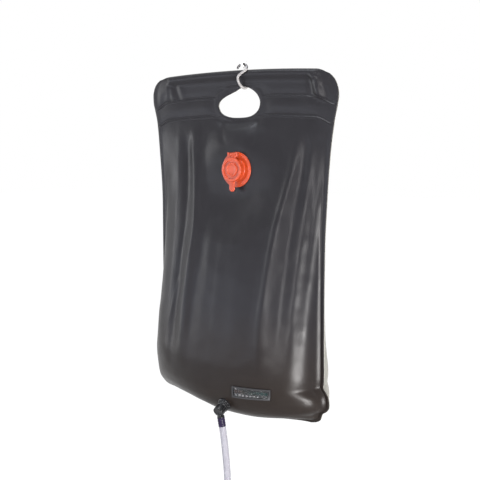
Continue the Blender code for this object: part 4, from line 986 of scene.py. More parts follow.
def depth(x, drop, is_front):
    """How far a film's inner face stands off the middle plane."""
    left, right = edges(drop)
    if drop > SEAM_2_DROP and x > 0:
        belly_right = BAG_HALF_WIDTH * along(RIGHT_BELLY_SHARES, drop / BAG_HEIGHT)
        low = ease(*LOBE_RUN, drop / BAG_HEIGHT)
        right = mix(right, mix(belly_right, right, ease(*LOBE_SIDE_RUN, x / right)), low)
    middle = (left + right) / 2
    across = (x - middle) / ((right - left) / 2 - WELD_WIDTH)
    if abs(across) >= 1 or drop <= 0 or drop >= BAG_HEIGHT - WELD_WIDTH:
        return 0.0
    if drop <= SEAM_1_DROP:
        out = sleeve_depth(x, drop, across)
    elif drop <= SEAM_2_DROP:
        share = (drop - SEAM_1_DROP) / (SEAM_2_DROP - SEAM_1_DROP)
        out = BAND_PUFF * math.sin(math.pi * share) * (1 - across ** 6)
    elif is_front:
        out = belly_depth(across, drop, FRONT_BELLY_SHARES, FRONT_BULGE)
    else:
        out = belly_depth(across, drop, BACK_BELLY_SHARES, BACK_BULGE)
    if drop > SEAM_2_DROP:
        out += along(fold_lines(drop, is_front), across) * ease(0.0, FOLD_ROOM, out)
    if drop > HOLE_DROP:
        out *= ease(*HOLE_RUN, hole_reach(x, drop))
    if is_front:
        below = FILLER_Z - BAG_TOP + drop
        from_filler = math.hypot(x + BAG_X - FILLER_X, below)
        blend = mix(*FILLER_BLEND_RADII, (1 + below / max(from_filler, TINY)) / 2)
        out = mix(FILLER_SEAT, out, ease(FILLER_FLAT_RADIUS, blend, from_filler))
    return out


def in_space(x, drop, stand_off, is_front):
    """A place on a film as a point in space, with the sleeve's droop and the corner's lift."""
    share = drop / BAG_HEIGHT
    lift = CORNER_LIFT * along(CORNER_LIFT_SHARES, -x / BAG_HALF_WIDTH)
    lift *= ease(CORNER_LIFT_START_SHARE, 1.0, share)
    sag = SLEEVE_SAG * (x / (ROD_LENGTH / 2)) ** 2
    held = mix(EAR_TOP_SHARES[x > 0], 1.0, ease(0.0, EAR_TOP_RUN, drop))
    sag += EAR_DROOP * held * ease(ROD_COVER, BAG_HALF_WIDTH, abs(x))
    lift -= sag * (1 - ease(*SAG_RUN, share))
    side = -1.0 if is_front else 1.0
    return Vector((BAG_X + x, BAG_Y + side * (GAP / 2 + stand_off), BAG_TOP - drop + lift))


def on_front(x, z, lift):
    """The point that stands a given way off the outer face of the front film."""
    step = WELD_WIDTH / 4

    def inner(px, pz):
        return in_space(px - BAG_X, BAG_TOP - pz, depth(px - BAG_X, BAG_TOP - pz, True), True)

    across = inner(x + step, z) - inner(x - step, z)
    upwards = inner(x, z + step) - inner(x, z - step)
    return inner(x, z) + across.cross(upwards).normalized() * (FILM + lift)


def fold_relief(folds, x, z):
    """What the finer folds add to a film at a place."""
    out = 0.0
    for height, half_width, route in folds:
        top, bottom = route[0][0], route[-1][0]
        if not bottom < z < top:
            continue
        flipped = [(-place, at) for place, at in route]
        off = (x - along(flipped, -z)) / (FINE_FOLD_WIDTH_SHARE * half_width)
        if abs(off) > 3:
            continue
        run = (top - z) / (top - bottom)
        fade = ease(*FINE_FOLD_START, run) * (1 - ease(*FINE_FOLD_END, run))
        out += FINE_FOLD_HEIGHT_SHARE * height * fade * math.exp(-off * off)
    return out


def seam_relief(drop):
    """The two weld lines at each seam: a groove above and a lip below."""
    out = 0.0
    for seam in (SEAM_1_DROP, SEAM_2_DROP):
        for side, height in ((-1, -SEAM_GROOVE), (1, SEAM_LIP)):
            off = (drop - seam - side * SEAM_DOUBLE / 2) / SEAM_HALF_WIDTH
            out += height * math.exp(-off * off)
    return out


def relief(x, drop, is_front):
    """How far the film stands off its smooth shape."""
    left, right = edges(drop)
    inside = min(x - left, right - x)
    if inside <= 0 or drop >= BAG_HEIGHT:
        return 0.0
    reach = hole_reach(x, drop)
    near_hole = ease(1.0, HOLE_FADE_SHARE, reach)
    seams = seam_relief(drop) * ease(0.0, WELD_WIDTH, inside) * near_hole
    rim = math.exp(-((reach - 1.0) / HOLE_RIM_SHARE) ** 2)
    x += BAG_X
    z = BAG_TOP - drop
    if is_front:
        out = fold_relief(FRONT_FOLDS, x, z) + fold_relief(SLEEVE_FOLDS, x, z)
        out *= ease(FLANGE_RADIUS, FILLER_FADE_SHARE * FLANGE_RADIUS,
                    math.hypot(x - FILLER_X, z - FILLER_Z))
    else:
        out = fold_relief(BACK_FOLDS, x, z)
    at = Vector((x, 0.0 if is_front else 1.0, z))
    wave = noise.noise(at / RIPPLE_SIZE) + 0.5 * noise.noise(at / SMALL_RIPPLE_SIZE)
    out += RIPPLE * wave * ease(0.0, SEAM_2_DROP, drop)
    out *= near_hole * ease(0.0, SLEEVE_RADIUS, drop) * ease(0.0, EDGE_FADE, inside)
    out *= 1 - ease(BAG_HEIGHT - BOTTOM_FADE, BAG_HEIGHT - WELD_WIDTH, drop)
    if is_front:
        out *= ease(0.0, THERMO_FADE, max(abs(x - THERMO_X) - THERMO_LENGTH / 2,
                                          abs(z - THERMO_Z) - THERMO_HEIGHT / 2))
    return settings().fold_depth * out + seams + 0.5 * SEAM_LIP * rim


def skin_rows():
    """The drops of a film's rows, closer at the rod, the seams and the bottom."""
    rows = [SLEEVE_RADIUS * (1 - math.cos(math.radians(angle)))
            for angle in range(0, 91, ROD_ROW_ANGLE)]
    place = SLEEVE_RADIUS
    while place < BAG_HEIGHT - SEAM_ROW:
        off_seam = min(abs(place - seam) for seam in (SEAM_1_DROP, SEAM_2_DROP))
        off_bottom = abs(BAG_HEIGHT - WELD_WIDTH - place)
        place += min(mix(SEAM_ROW, SKIN_ROW, ease(SEAM_REACH, 4 * SEAM_REACH, off_seam)),
                     mix(BOTTOM_ROW, SKIN_ROW, ease(0.0, BOTTOM_REACH, off_bottom)))
        rows.append(min(place, BAG_HEIGHT))
    return rows


def hand_hole_cutter():
    """The hand hole's outline as a thick plate."""
    reach = 4 * SLEEVE_RADIUS
    count = len(HOLE_SHARES)
    steps = 6
    loop = []
    for i in range(count):
        ends = [Vector(HOLE_SHARES[(i + k) % count]) for k in (-1, 0, 1, 2)]
        for k in range(steps):
            point = between(*ends, k / steps)
            loop.append((point.x * HOLE_HALF_WIDTH, -reach, -point.y * HOLE_HEIGHT))
    shape = bmesh.new()
    pulled(shape, loop, (0.0, 2 * reach, 0.0))
    place = Matrix.Translation((BAG_X + HOLE_X, BAG_Y, BAG_TOP - HOLE_DROP))
    return solid("hand_hole_cutter", shape, bpy.data.materials.new("cutter"), place)


def film(name, is_front, material):
    """One film of the bag with its folds, welds and hand hole."""
    rows = skin_rows()
    last = len(rows) - 1
    shape = bmesh.new()
    bmesh.ops.create_grid(shape, x_segments=SKIN_COLUMNS, y_segments=last, size=1.0)
    lifts = {}
    for vert in shape.verts:
        drop = rows[round((1 - vert.co.y) / 2 * last)]
        x = mix(*edges(drop), (vert.co.x + 1) / 2)
        stand_off = depth(x, drop, is_front)
        lifts[vert.index] = max(FILM + relief(x, drop, is_front), SKIN - INWARD_SHARE * stand_off)
        vert.co = in_space(x, drop, stand_off, is_front)
    if not is_front:
        bmesh.ops.reverse_faces(shape, faces=shape.faces)
    shape.normal_update()
    normals = [vert.normal.copy() for vert in shape.verts]
    for vert, normal in zip(shape.verts, normals):
        vert.co += normal * lifts[vert.index]
    obj = sheet(name, shape, material)
    obj.data.shade_smooth()
    body = obj.modifiers.new("film", "SOLIDIFY")
    body.thickness = SKIN
    body.offset = -1.0
    tool = hand_hole_cutter()
    hole = obj.modifiers.new("hand_hole", "BOOLEAN")
    hole.operation = "DIFFERENCE"
    hole.object = tool
    mesh = made_mesh(obj)
    obj.modifiers.clear()
    obj.data = mesh
    bpy.data.objects.remove(tool, do_unlink=True)
    return obj


class SHOWERBAG_OT_films(Operator):
    """Models the front and back films with their folds and welds."""

    bl_idname = "shower_bag.films"
    bl_label = "Bag films"

    def execute(self, context):
        seat(film("front_film", True, black_film()), "bag", "black_vinyl", "front_panel")
        seat(film("back_film", False, pale_film()), "bag", "pale_vinyl", "back_panel")
        return {"FINISHED"}


# Filler valve


def filler_place():
    return Vector((FILLER_X, BAG_Y - GAP / 2 - FILLER_SEAT - FILM, FILLER_Z))


def hinge_place():
    return filler_place() + FORWARD * HINGE_RISE - DOWN * HINGE_DROP


def make_flange(red):
    top = GAP + FLANGE_THICKNESS
    bead = top + FLANGE_BEAD
    bead_1, bead_2, bead_3, bead_4 = FLANGE_BEAD_RADII
    profile = filleted((
        (NECK_BORE, NECK_RISE, 0), (NECK_RADIUS, NECK_RISE, 0.0004), (NECK_RADIUS, top, 0.0015),
        (bead_1, top, 0.0004), (bead_2, bead, 0.0003), (bead_3, bead, 0.0003),
        (bead_4, top, 0.0004), (FLANGE_RADIUS, top, 0.0009), (FLANGE_RADIUS, GAP, 0.0003),
        (NECK_RADIUS, GAP, 0.0002), (NECK_RADIUS, -NECK_INSIDE, 0.0004),
        (NECK_BORE, -NECK_INSIDE, 0),
    ))
    flange = lathe("filler_flange_rim", profile, filler_place(), FORWARD, red)
    seat(flange, "bag", "valve_red", "filler_flange")


def make_cap(red):
    """The cap with its ring recess, dished middle and plug."""
    under = NECK_RISE + 2 * GAP + SEAL_ROOM
    floor = CAP_RISE - CAP_RECESS
    dish = CAP_RISE - CAP_DISH
    plug = NECK_BORE - PLUG_CLEARANCE
    end = NECK_RISE - PLUG_DEPTH
    ring_1, ring_2, ring_3, ring_4, ring_5 = CAP_RING_RADII
    profile = filleted((
        (0.0, dish, 0), (CAP_DISH_RADIUS, dish, 0.0010), (ring_1, CAP_RISE, 0.0008),
        (ring_2, CAP_RISE, 0.0008), (ring_3, floor, 0.0006), (ring_4, floor, 0.0006),
        (ring_5, CAP_RISE, 0.0006), (CAP_RADIUS, CAP_RISE, 0.0014), (CAP_RADIUS, under, 0.0006),
        (plug, under, 0.0003), (plug, end, 0.0004), (plug - PLUG_WALL, end, 0.0004),
        (plug - PLUG_WALL, floor - CAP_CROWN, 0.0006), (0.0, floor - CAP_CROWN, 0),
    ))
    cap = lathe("filler_cap_crown", profile, filler_place(), FORWARD, red)
    seat(cap, "filler_cap", "valve_red", "filler_cap")


def make_tab(red):
    """The tab that pulls the cap open, with ridges for the finger."""
    radius = TAB_WIDTH / 2
    start = CAP_RADIUS - CAP_OVERLAP
    end = TAB_REACH - radius
    half = TAB_THICKNESS / 2
    loop = [(radius, -start, -half), (-radius, -start, -half)]
    for k in range(25):
        angle = math.pi + math.pi * k / 24
        loop.append((radius * math.cos(angle), radius * math.sin(angle) - end, -half))
    shape = bmesh.new()
    pulled(shape, loop, (0.0, 0.0, TAB_THICKNESS))
    shape.normal_update()
    rims = [e for e in shape.edges if e.is_manifold and e.calc_face_angle(0.0) > math.radians(60)]
    round_edges(shape, rims, 0.0007)
    middle = filler_place() + FORWARD * (CAP_RISE - TAB_SET_BACK - half)
    upright = Matrix.Rotation(math.radians(90), 4, "X")
    tab = solid("cap_pull_tab", shape, red, Matrix.Translation(middle) @ upright)
    seat(tab, "filler_cap", "valve_red")
    for k in range(TAB_RIDGE_COUNT):
        drop = end - TAB_RIDGE_START + TAB_RIDGE_STEP * k
        ridge = rounded_box(f"pull_tab_ridge_{k + 1}", TAB_RIDGE,
                            middle + FORWARD * half + DOWN * drop, 0.0003, red)
        seat(ridge, "filler_cap", "valve_red")


def make_strap(red):
    """The strap from the cap to its knuckle on the hinge pin, with ribs."""
    length = HINGE_DROP - CAP_RADIUS + CAP_OVERLAP
    place = hinge_place() + DOWN * length / 2 + FORWARD * (KNUCKLE_RADIUS - STRAP_THICKNESS / 2)
    strap = rounded_box("cap_strap", (KNUCKLE_WIDTH, STRAP_THICKNESS, length), place, 0.0005, red)
    seat(strap, "filler_cap", "valve_red")
    ring = ring_profile(KNUCKLE_BORE, KNUCKLE_RADIUS, -KNUCKLE_WIDTH / 2, KNUCKLE_WIDTH / 2, 0.0004)
    knuckle = lathe("cap_knuckle", ring, hinge_place(), SIDEWAYS, red, 48)
    seat(knuckle, "filler_cap", "valve_red")
    place += FORWARD * STRAP_RIB_LIFT + DOWN * STRAP_RIB_DROP
    for k in range(STRAP_RIB_COUNT):
        across = KNUCKLE_WIDTH * ((k + 0.5) / STRAP_RIB_COUNT - 0.5)
        size = (STRAP_RIB_WIDTH, STRAP_RIB_DEPTH, length)
        rib = rounded_box(f"cap_strap_rib_{k + 1}", size, place + SIDEWAYS * across, 0.0004, red)
        seat(rib, "filler_cap", "valve_red")


class SHOWERBAG_OT_filler(Operator):
    """Models the filler valve with its hinged cap, and dresses what it hides."""

    bl_idname = "shower_bag.filler"
    bl_label = "Filler valve"

    def execute(self, context):
        red = red_plastic()
        make_flange(red)
        make_cap(red)
        make_tab(red)
        make_strap(red)
        dress("filler_hinge_block", red, bevel=0.0005)
        dress("filler_hinge_pin", steel("pin_wire", (0.6, 0.6, 0.6), 0.3))
        dress("cap_seal", moulded("seal_rubber_soft", (0.022, 0.022, 0.022), 0.6))
        dress("filler_backing_ring", moulded("backing_black", (0.04, 0.04, 0.04), 0.5))
        dress("handle_rod", moulded("rod_grey", (0.50, 0.50, 0.47), 0.5))
        return {"FINISHED"}


# Outlet


def outlet_axis():
    slope = math.radians(OUTLET_SLOPE)
    return Vector((0.0, -math.cos(slope), -math.sin(slope)))


def outlet_place():
    return on_front(OUTLET_X, BAG_TOP - OUTLET_DROP, 0.0)


def elbow_centre():
    return outlet_place() + outlet_axis() * ELBOW_RISE


def barb_start():
    return elbow_centre() + HOSE_DIRECTION * (ELBOW_LEG + SHOULDER_THICKNESS)


def make_bend(black):
    """The elbow's bend, its shoulder and its barbs as one swept body."""
    centre = elbow_centre()
    reach = ELBOW_BEND_SHARE * ELBOW_RADIUS
    start, end = centre - outlet_axis() * reach, centre + HOSE_DIRECTION * reach
    line = [outlet_place() + outlet_axis() * (ELBOW_BASE + ELBOW_FOOT), start]
    steps = 16
    line += [rounded(start, centre, end, k / steps) for k in range(1, steps)]
    radii = [ELBOW_RADIUS] * len(line)
    foot = ELBOW_LEG + SHOULDER_THICKNESS
    edge = SHOULDER_RADIUS - SHOULDER_ROUNDING
    stations = [(reach, ELBOW_RADIUS), (ELBOW_LEG - SHOULDER_BLEND, ELBOW_RADIUS),
                (ELBOW_LEG - SHOULDER_ROUNDING, edge), (ELBOW_LEG, SHOULDER_RADIUS),
                (foot - SHOULDER_ROUNDING, SHOULDER_RADIUS), (foot, edge),
                (foot + SHOULDER_ROUNDING / 2, BARB_ROOT)]
    for k in range(BARB_COUNT):
        low = foot + BARB_PITCH * k
        stations += [(low + BARB_FOOT_SHARE * BARB_PITCH, BARB_ROOT),
                     (low + BARB_TIP_SHARE * BARB_PITCH, BARB_TIP), (low + BARB_PITCH, BARB_ROOT)]
    for place, radius in stations:
        line.append(centre + HOSE_DIRECTION * place)
        radii.append(radius)
    elbow = swept("outlet_elbow_bend", line, radii, black, 48)
    seat(elbow, "bag", "outlet_black", "outlet_elbow")


def make_elbow_body(black):
    """The round body over the bend, and the collar that the nut holds."""
    top = ELBOW_BASE + COLLAR_THICKNESS
    ring = ring_profile(COLLAR_BORE, COLLAR_RADIUS, ELBOW_BASE, top, 0.0003)
    collar = lathe("elbow_collar", ring, outlet_place(), outlet_axis(), black, 48)
    seat(collar, "bag", "outlet_black")
    low = top + NUT_LIP + 2 * GAP
    radius, high = ELBOW_BODY_RADIUS, ELBOW_BODY_END
    dish, rim = ELBOW_DISH_RADII
    profile = filleted((
        (0.0, high - ELBOW_DISH, 0), (dish, high - ELBOW_DISH, 0.0004), (rim, high, 0.0004),
        (radius, high, 0.0020), (radius, low, 0.0005), (0.0, low, 0),
    ))
    body = lathe("elbow_body", profile, outlet_place(), outlet_axis(), black)
    seat(body, "bag", "outlet_black")


def make_nut(black):
    """The nut, grooved round its side between the foot and the rounded top."""
    low = FLANGE_RISE + GAP
    side = low + NUT_FOOT_HEIGHT + NUT_FOOT_BLEND
    lip = ELBOW_BASE + COLLAR_THICKNESS + GAP
    mouth = ELBOW_RADIUS + GAP
    top = lip + NUT_LIP
    foot = NUT_RADIUS + NUT_FOOT
    profile = filleted((
        (mouth, top, 0), (NUT_RADIUS - NUT_LIP, top, 0.0005), (NUT_RADIUS, top - NUT_LIP, 0.0008),
        (NUT_RADIUS, side, 0.0004), (foot, low + NUT_FOOT_HEIGHT, 0.0003), (foot, low, 0.0003),
        (NUT_BORE, low, 0), (NUT_BORE, lip, 0), (mouth, lip, 0),
    ))

    def flute(angle, radius, height):
        is_side = side - NUT_FOOT_BLEND / 4 <= height <= top - NUT_TOP_BLEND
        if radius < NUT_RADIUS - NUT_GROOVE or not is_side:
            return 0.0
        return NUT_GROOVE * max(math.cos(NUT_GROOVE_COUNT * angle), 0.0) ** 2

    nut = lathe("outlet_nut_ribbed", profile, outlet_place(), outlet_axis(), black, 192, flute)
    seat(nut, "bag", "outlet_black", "outlet_nut")


class SHOWERBAG_OT_outlet(Operator):
    """Models the outlet's nut and elbow, and dresses its flange and washer."""

    bl_idname = "shower_bag.outlet"
    bl_label = "Outlet"

    def execute(self, context):
        black = moulded("outlet_gloss_black", (0.008, 0.008, 0.009), 0.13, specular=0.28)
        make_bend(black)
        make_elbow_body(black)
        make_nut(black)
        dress("outlet_flange", black, bevel=0.0003)
        dress("outlet_washer", moulded("washer_soft", (0.02, 0.02, 0.02), 0.6))
        return {"FINISHED"}


# Hose


def hose_line():
    """The hose's centre line, from its cuff through its put-away turn to the shower head."""
    start = barb_start() + HOSE_DIRECTION * (CUFF_LENGTH + GAP)
    straight = start + HOSE_DIRECTION * HOSE_RADIUS
    route = [outlet_place() + Vector(offset) for offset in HOSE_ROUTE]
    line = [start, *smooth_line([straight, *route], HOSE_SPACING)]
    top = route[-1] + DOWN * GAP
    run = 2 * HOSE_RADIUS
    middle = top + DOWN * run + Vector((COIL_RADIUS, 0.0, 0.0))
    line.append(top + DOWN * run / 2)
    for k in range(COIL_LOOP_POINTS + 1):
        angle = math.pi + 2 * math.pi * k / COIL_LOOP_POINTS
        back = COIL_PITCH * ease(0.0, 1.0, k / COIL_LOOP_POINTS)
        offset = Vector((COIL_RADIUS * math.cos(angle), back, COIL_RADIUS * math.sin(angle)))
        line.append(middle + offset)
    return [*line, line[-1] + DOWN * COIL_END_RUN / 2, line[-1] + DOWN * COIL_END_RUN]


def make_tube(line, material):
    """The hose as a round curve along its line."""
    curve = bpy.data.curves.new("hose_tube", "CURVE")
    curve.dimensions = "3D"
    curve.bevel_depth = HOSE_RADIUS
    curve.bevel_resolution = 8
    curve.use_fill_caps = True
    spline = curve.splines.new("POLY")
    spline.points.add(len(line) - 1)
    for point, place in zip(spline.points, line):
        point.co = (*place, 1.0)
    spline.use_smooth = True
    curve.materials.append(material)
    return seat(add_object("hose_tube", curve), "bag", "clear_hose", "hose", "hose_coil")


def make_cuff(material):
    """The cuff over the barbs, which stands a little proud over each of them."""
    ring = ring_profile(BARB_TIP + GAP, CUFF_RADIUS, GAP, CUFF_LENGTH, 0.0006)
    profile = [ring[0]]
    for first, second in zip(ring, ring[1:]):
        count = max(1, round(abs(second[1] - first[1]) / CUFF_ROW))
        for k in range(1, count + 1):
            profile.append(tuple(mix(a, b, k / count) for a, b in zip(first, second)))

    def swell(angle, radius, height):
        wave = math.cos(2 * math.pi * (height / BARB_PITCH - BARB_TIP_SHARE))
        return CUFF_SWELL * (1 - wave) if radius > BARB_TIP + 2 * GAP else 0.0

    cuff = lathe("hose_cuff_sleeve", profile, barb_start(), HOSE_DIRECTION, material, 48, swell)
    return seat(cuff, "bag", "clear_hose", "hose_cuff")


def make_tie(material):
    """The band round both strands of the hose, with its small catch."""
    reach = HOSE_RADIUS + TIE_CLEARANCE + TIE_THICKNESS / 2
    end = outlet_place() + Vector(HOSE_ROUTE[-1])
    place = end + DOWN * (GAP + 2 * HOSE_RADIUS) + Vector((0.0, COIL_PITCH / 2, 0.0))
    loop = []
    for side, centre in ((0, COIL_PITCH / 2), (1, -COIL_PITCH / 2)):
        for k in range(17):
            angle = math.pi * (side + k / 16)
            loop.append(Vector((reach * math.cos(angle), centre + reach * math.sin(angle))))
    half, low, high = TIE_THICKNESS / 2, -TIE_HEIGHT / 2, TIE_HEIGHT / 2
    shape = bmesh.new()
    rings = []
    for i, middle in enumerate(loop):
        side = (loop[(i + 1) % len(loop)] - loop[i - 1]).normalized()
        outward = Vector((side.y, -side.x))
        rings.append([shape.verts.new((*(middle + outward * off), up))
                      for off, up in ((-half, low), (half, low), (half, high), (-half, high))])
    for i, ring in enumerate(rings):
        bridge(shape, ring, rings[(i + 1) % len(rings)])
    band = solid("hose_tie_band", shape, material, Matrix.Translation(place))
    seat(band, "bag", "tie_plastic", "hose_tie")
    catch = rounded_box("hose_tie_catch", TIE_CATCH, place - SIDEWAYS * (reach + TIE_CATCH_OUT),
                        0.0005, material)
    seat(catch, "bag", "tie_plastic")
    return band, catch


class SHOWERBAG_OT_hose(Operator):
    """Models the hose, its cuff over the barbs, and the tie."""

    bl_idname = "shower_bag.hose"
    bl_label = "Hose"

    def execute(self, context):
        line = hose_line()
        hose = make_tube(line, clear_hose("hose_clear", settings().hose_colour, 0.25, 1.38))
        band, catch = make_tie(moulded("tie_black", (0.03, 0.03, 0.03), 0.45))
        cuff = make_cuff(clear_hose("cuff_over_barbs", (0.018, 0.012, 0.036), 0.15, 1.25))
        return {"FINISHED"}


# Shower head


def make_grip(place, black):
    """The grip with its grooves, its socket for the hose and its stem."""
    radius, top, socket = HEAD_GRIP_RADIUS, HEAD_GRIP_LENGTH, HEAD_SOCKET_LENGTH
    step = (top - socket - 2 * GRIP_GROOVE_MARGIN) / GRIP_GROOVE_COUNT
    grooves = []
    for k in range(GRIP_GROOVE_COUNT):
        high = top - GRIP_GROOVE_MARGIN - step * (k + 0.5)
        grooves += [(radius, high + step / 4, 0.0006), (radius - GRIP_GROOVE, high, 0.0010),
                    (radius, high - step / 4, 0.0006)]
    profile = filleted((
        (0.0, HEAD_STEM_END, 0), (HEAD_STEM_RADIUS, HEAD_STEM_END, 0.0008),
        (HEAD_STEM_RADIUS, top, 0.0004), (radius, top, 0.0010), *grooves,
        (radius, socket + SOCKET_BLEND, 0.0012),
        (HEAD_SOCKET_RADIUS, socket - SOCKET_BLEND, 0.0012),
        (HEAD_SOCKET_RADIUS, GAP, 0.0006), (0.0, GAP, 0),
    ))
    seat(lathe("head_grip", profile, place, DOWN, black), "bag", "head_black", "head_body")


def make_rose(place, red):
    """The rose that is pulled down, with finger grooves round its neck."""
    inside = ROSE_RADIUS - ROSE_WALL
    top = HEAD_GRIP_LENGTH + GAP
    profile = filleted((
        (ROSE_BORE, top, 0), (ROSE_BORE, ROSE_NECK_END + ROSE_WALL, 0),
        (inside, ROSE_SHOULDER, 0.0008), (inside, ROSE_END, 0.0004),
        (ROSE_RADIUS, ROSE_END, 0.0006), (ROSE_RADIUS, ROSE_SHOULDER, 0.0020),
        (ROSE_NECK_RADIUS, ROSE_NECK_END, 0.0022), (ROSE_NECK_RADIUS, top, 0.0010),
    ))

    def flute(angle, radius, height):
        if abs(radius - ROSE_NECK_RADIUS) > ROSE_GROOVE_REACH or height > ROSE_NECK_END:
            return 0.0
        return ROSE_GROOVE * max(math.cos(ROSE_GROOVE_COUNT * angle), 0.0)

    rose = lathe("rose_shell", profile, place, DOWN, red, 144, flute)
    seat(rose, "spray_rose", "rose_red", "spray_rose")


class SHOWERBAG_OT_head(Operator):
    """Models the shower head's grip and its rose."""

    bl_idname = "shower_bag.head"
    bl_label = "Shower head"

    def execute(self, context):
        place = hose_line()[-1]
        black = moulded("head_black_grip", (0.022, 0.022, 0.024), 0.38)
        make_grip(place, black)
        make_rose(place, red_plastic())
        dress("spray_plate", black)
        dress("head_seal", moulded("seal_soft", (0.018, 0.018, 0.018), 0.6))
        return {"FINISHED"}


# Thermometer


def on_strip(u, v, lift):
    """A place on the thermometer, from its middle along it and up it."""
    return on_front(THERMO_X + u, THERMO_Z + v, THERMO_LIFT + lift)


def make_cell(name, middle, material):
    """A thin patch of the scale that follows the thermometer's curve."""
    shape = bmesh.new()
    bmesh.ops.create_grid(shape, x_segments=6, y_segments=3, size=1.0)
    for vert in shape.verts:
        v = mix(*CELL_ENDS, (vert.co.y + 1) / 2)
        vert.co = on_strip(middle + CELL_HALF_WIDTH * vert.co.x, v, CELL_LIFT)
    seat(sheet(name, shape, material), "bag", "strip_black")


def make_figure(name, words, u, v, size, material):
    """Plain figures that follow the thermometer's curve."""
    curve = bpy.data.curves.new(name, "FONT")
    curve.body = words
    curve.size = size
    curve.align_x = "CENTER"
    curve.align_y = "CENTER"
    curve.resolution_u = 4
    writing = add_object(name + "_text", curve)
    mesh = made_mesh(writing)
    bpy.data.objects.remove(writing, do_unlink=True)
    for vert in mesh.vertices:
        vert.co = on_strip(u + vert.co.x, v + vert.co.y, INK_LIFT)
    mesh.materials.clear()
    mesh.materials.append(material)
    seat(add_object(name, mesh), "bag", "strip_black")


class SHOWERBAG_OT_thermometer(Operator):
    """Dresses the thermometer and prints its scale."""

    bl_idname = "shower_bag.thermometer"
    bl_label = "Thermometer"

    def execute(self, context):
        dress("thermometer_strip", moulded("strip_print", (0.020, 0.018, 0.018), 0.3))
        dress("thermometer_frame", moulded("frame_black_gloss", (0.02, 0.02, 0.022), 0.35))
        dress("thermometer_window", window_film())
        ink = moulded("scale_white", (0.60, 0.56, 0.55), 0.5)
        end = THERMO_LENGTH / 2 - THERMO_MARGIN
        for k in range(SCALE_COUNT):
            share = k / (SCALE_COUNT - 1)
            u = mix(SCALE_IN - end, end - SCALE_IN, share)
            make_figure(f"scale_figure_{k + 1}", str(SCALE_START + SCALE_STEP * k), u, FIGURE_V,
                        FIGURE_SIZE, ink)
            tint = tuple(mix(cold, warm, share) for cold, warm in zip(COLD_TINT, WARM_TINT))
            make_cell(f"scale_cell_{k + 1}", u, moulded(f"cell_tint_{k + 1}", tint, 0.22))
        make_figure("scale_unit", "°C", UNIT_IN - end, UNIT_V, UNIT_SIZE, ink)
        return {"FINISHED"}


# Cord, eye, knot and hook


def braid(run, angle):
    """Crossed strands round a cord, as a share of its radius."""
    turn = 2 * math.pi * run / BRAID_PITCH
    right = abs(math.sin(BRAID_STRANDS * angle / 2 + turn))
    left = abs(math.sin(BRAID_STRANDS * angle / 2 - turn))
    return 1 - BRAID_DEPTH_SHARE * (1 - max(right, left)) - BRAID_RIDGE_SHARE * abs(right - left)


def make_braid(name, line, material, *nodes):
    cord = swept(name, line, [CORD_RADIUS] * len(line), material, relief=braid)
    return seat(cord, "bag", "white_cord", *nodes)


def knot_line():
    """The wraps of the knot round both strands."""
    half = KNOT_HEIGHT / 2 - CORD_RADIUS
    line = []
    for k in range(KNOT_POINTS + 1):
        share = k / KNOT_POINTS
        angle = 2 * math.pi * KNOT_TURNS * share
        line.append(Vector((KNOT_RADIUS * math.cos(angle), KNOT_RADIUS * math.sin(angle),
                            KNOT_Z + mix(-half, half, share))))
    return line


def make_hook(wire, soft):
    """The bent wire with rounded tips, and the soft sleeve where it bears on the bag."""
    line = smooth_line(HOOK_ROUTE, CORD_STEP)
    whole = length_of(line)
    radii = []
    run = 0.0
    for i, point in enumerate(line):
        run += (point - line[i - 1]).length if i else 0.0
        from_tip = min(run, whole - run) / HOOK_WIRE
        radii.append(HOOK_WIRE * math.sqrt(min(max(from_tip, HOOK_TIP_SHARE), 1.0)))
    seat(swept("hook_bend", line, radii, wire, 32), "bag", "bright_steel", "hanging_hook")
    start = next(i for i, point in enumerate(line) if point.x > 0 and point.z < SLEEVE_TOP)
    covered = line[start : -round(2 * HOOK_WIRE / CORD_STEP)]
    radii = [HOOK_WIRE + HOOK_SLEEVE] * len(covered)
    seat(swept("hook_sleeve", covered, radii, soft, 32), "bag", "white_cord")


class SHOWERBAG_OT_cord(Operator):
    """Models the braided cord, its eye and knot, and the wire hook."""

    bl_idname = "shower_bag.cord"
    bl_label = "Cord and hook"

    def execute(self, context):
        white = braided_cord()
        make_braid("knot_wraps", knot_line(), white, "hanging_knot")
        ends = KNOT_HEIGHT / 2 + GAP
        for name, side in (("front", -1), ("back", 1)):
            route = [(0.0, side * apart, KNOT_Z + up) for apart, up in (
                (STRAND_APART, -ends), (KNOT_STRAND_APART, -KNOT_STRAND_STRAIGHT),
                (KNOT_STRAND_APART, KNOT_STRAND_STRAIGHT), (STRAND_APART, ends))]
            make_braid("knot_strand_" + name, smooth_line(route, CORD_STEP), white)
        for name, half, node in (("cord_braid", CORD_HALF_ROUTE, "hanging_cord"),
                                 ("eye_braid", EYE_HALF_ROUTE, "hanging_eye")):
            route = [*half, *((-y, z) for y, z in half[-2::-1])]
            line = smooth_line([(0.0, y, z) for y, z in route], CORD_STEP)
            cord = make_braid(name, line, white, node)
        make_hook(steel("hook_wire", (0.10, 0.097, 0.10), 0.16),
                  moulded("sleeve_white", (0.28, 0.265, 0.26), 0.5))
        return {"FINISHED"}


# Stage


def background_rays(tree):
    """1 for rays from the camera and for those that gloss and glass send on, 0 for the rest."""
    path = tree.nodes.new("ShaderNodeLightPath")
    seen = path.outputs["Is Camera Ray"]
    for name in ("Is Glossy Ray", "Is Transmission Ray"):
        inputs = {0: seen, 1: path.outputs[name]}
        seen = add_node(tree, "ShaderNodeMath", inputs, "MAXIMUM").outputs["Value"]
    return seen


def blend_into(tree, output, share, first, second):
    """Sends a mix of two shaders to a tree's output."""
    blend = add_node(tree, "ShaderNodeMixShader", {"Fac": share, 1: first, 2: second})
    tree.links.new(blend.outputs["Shader"], tree.nodes[output].inputs["Surface"])


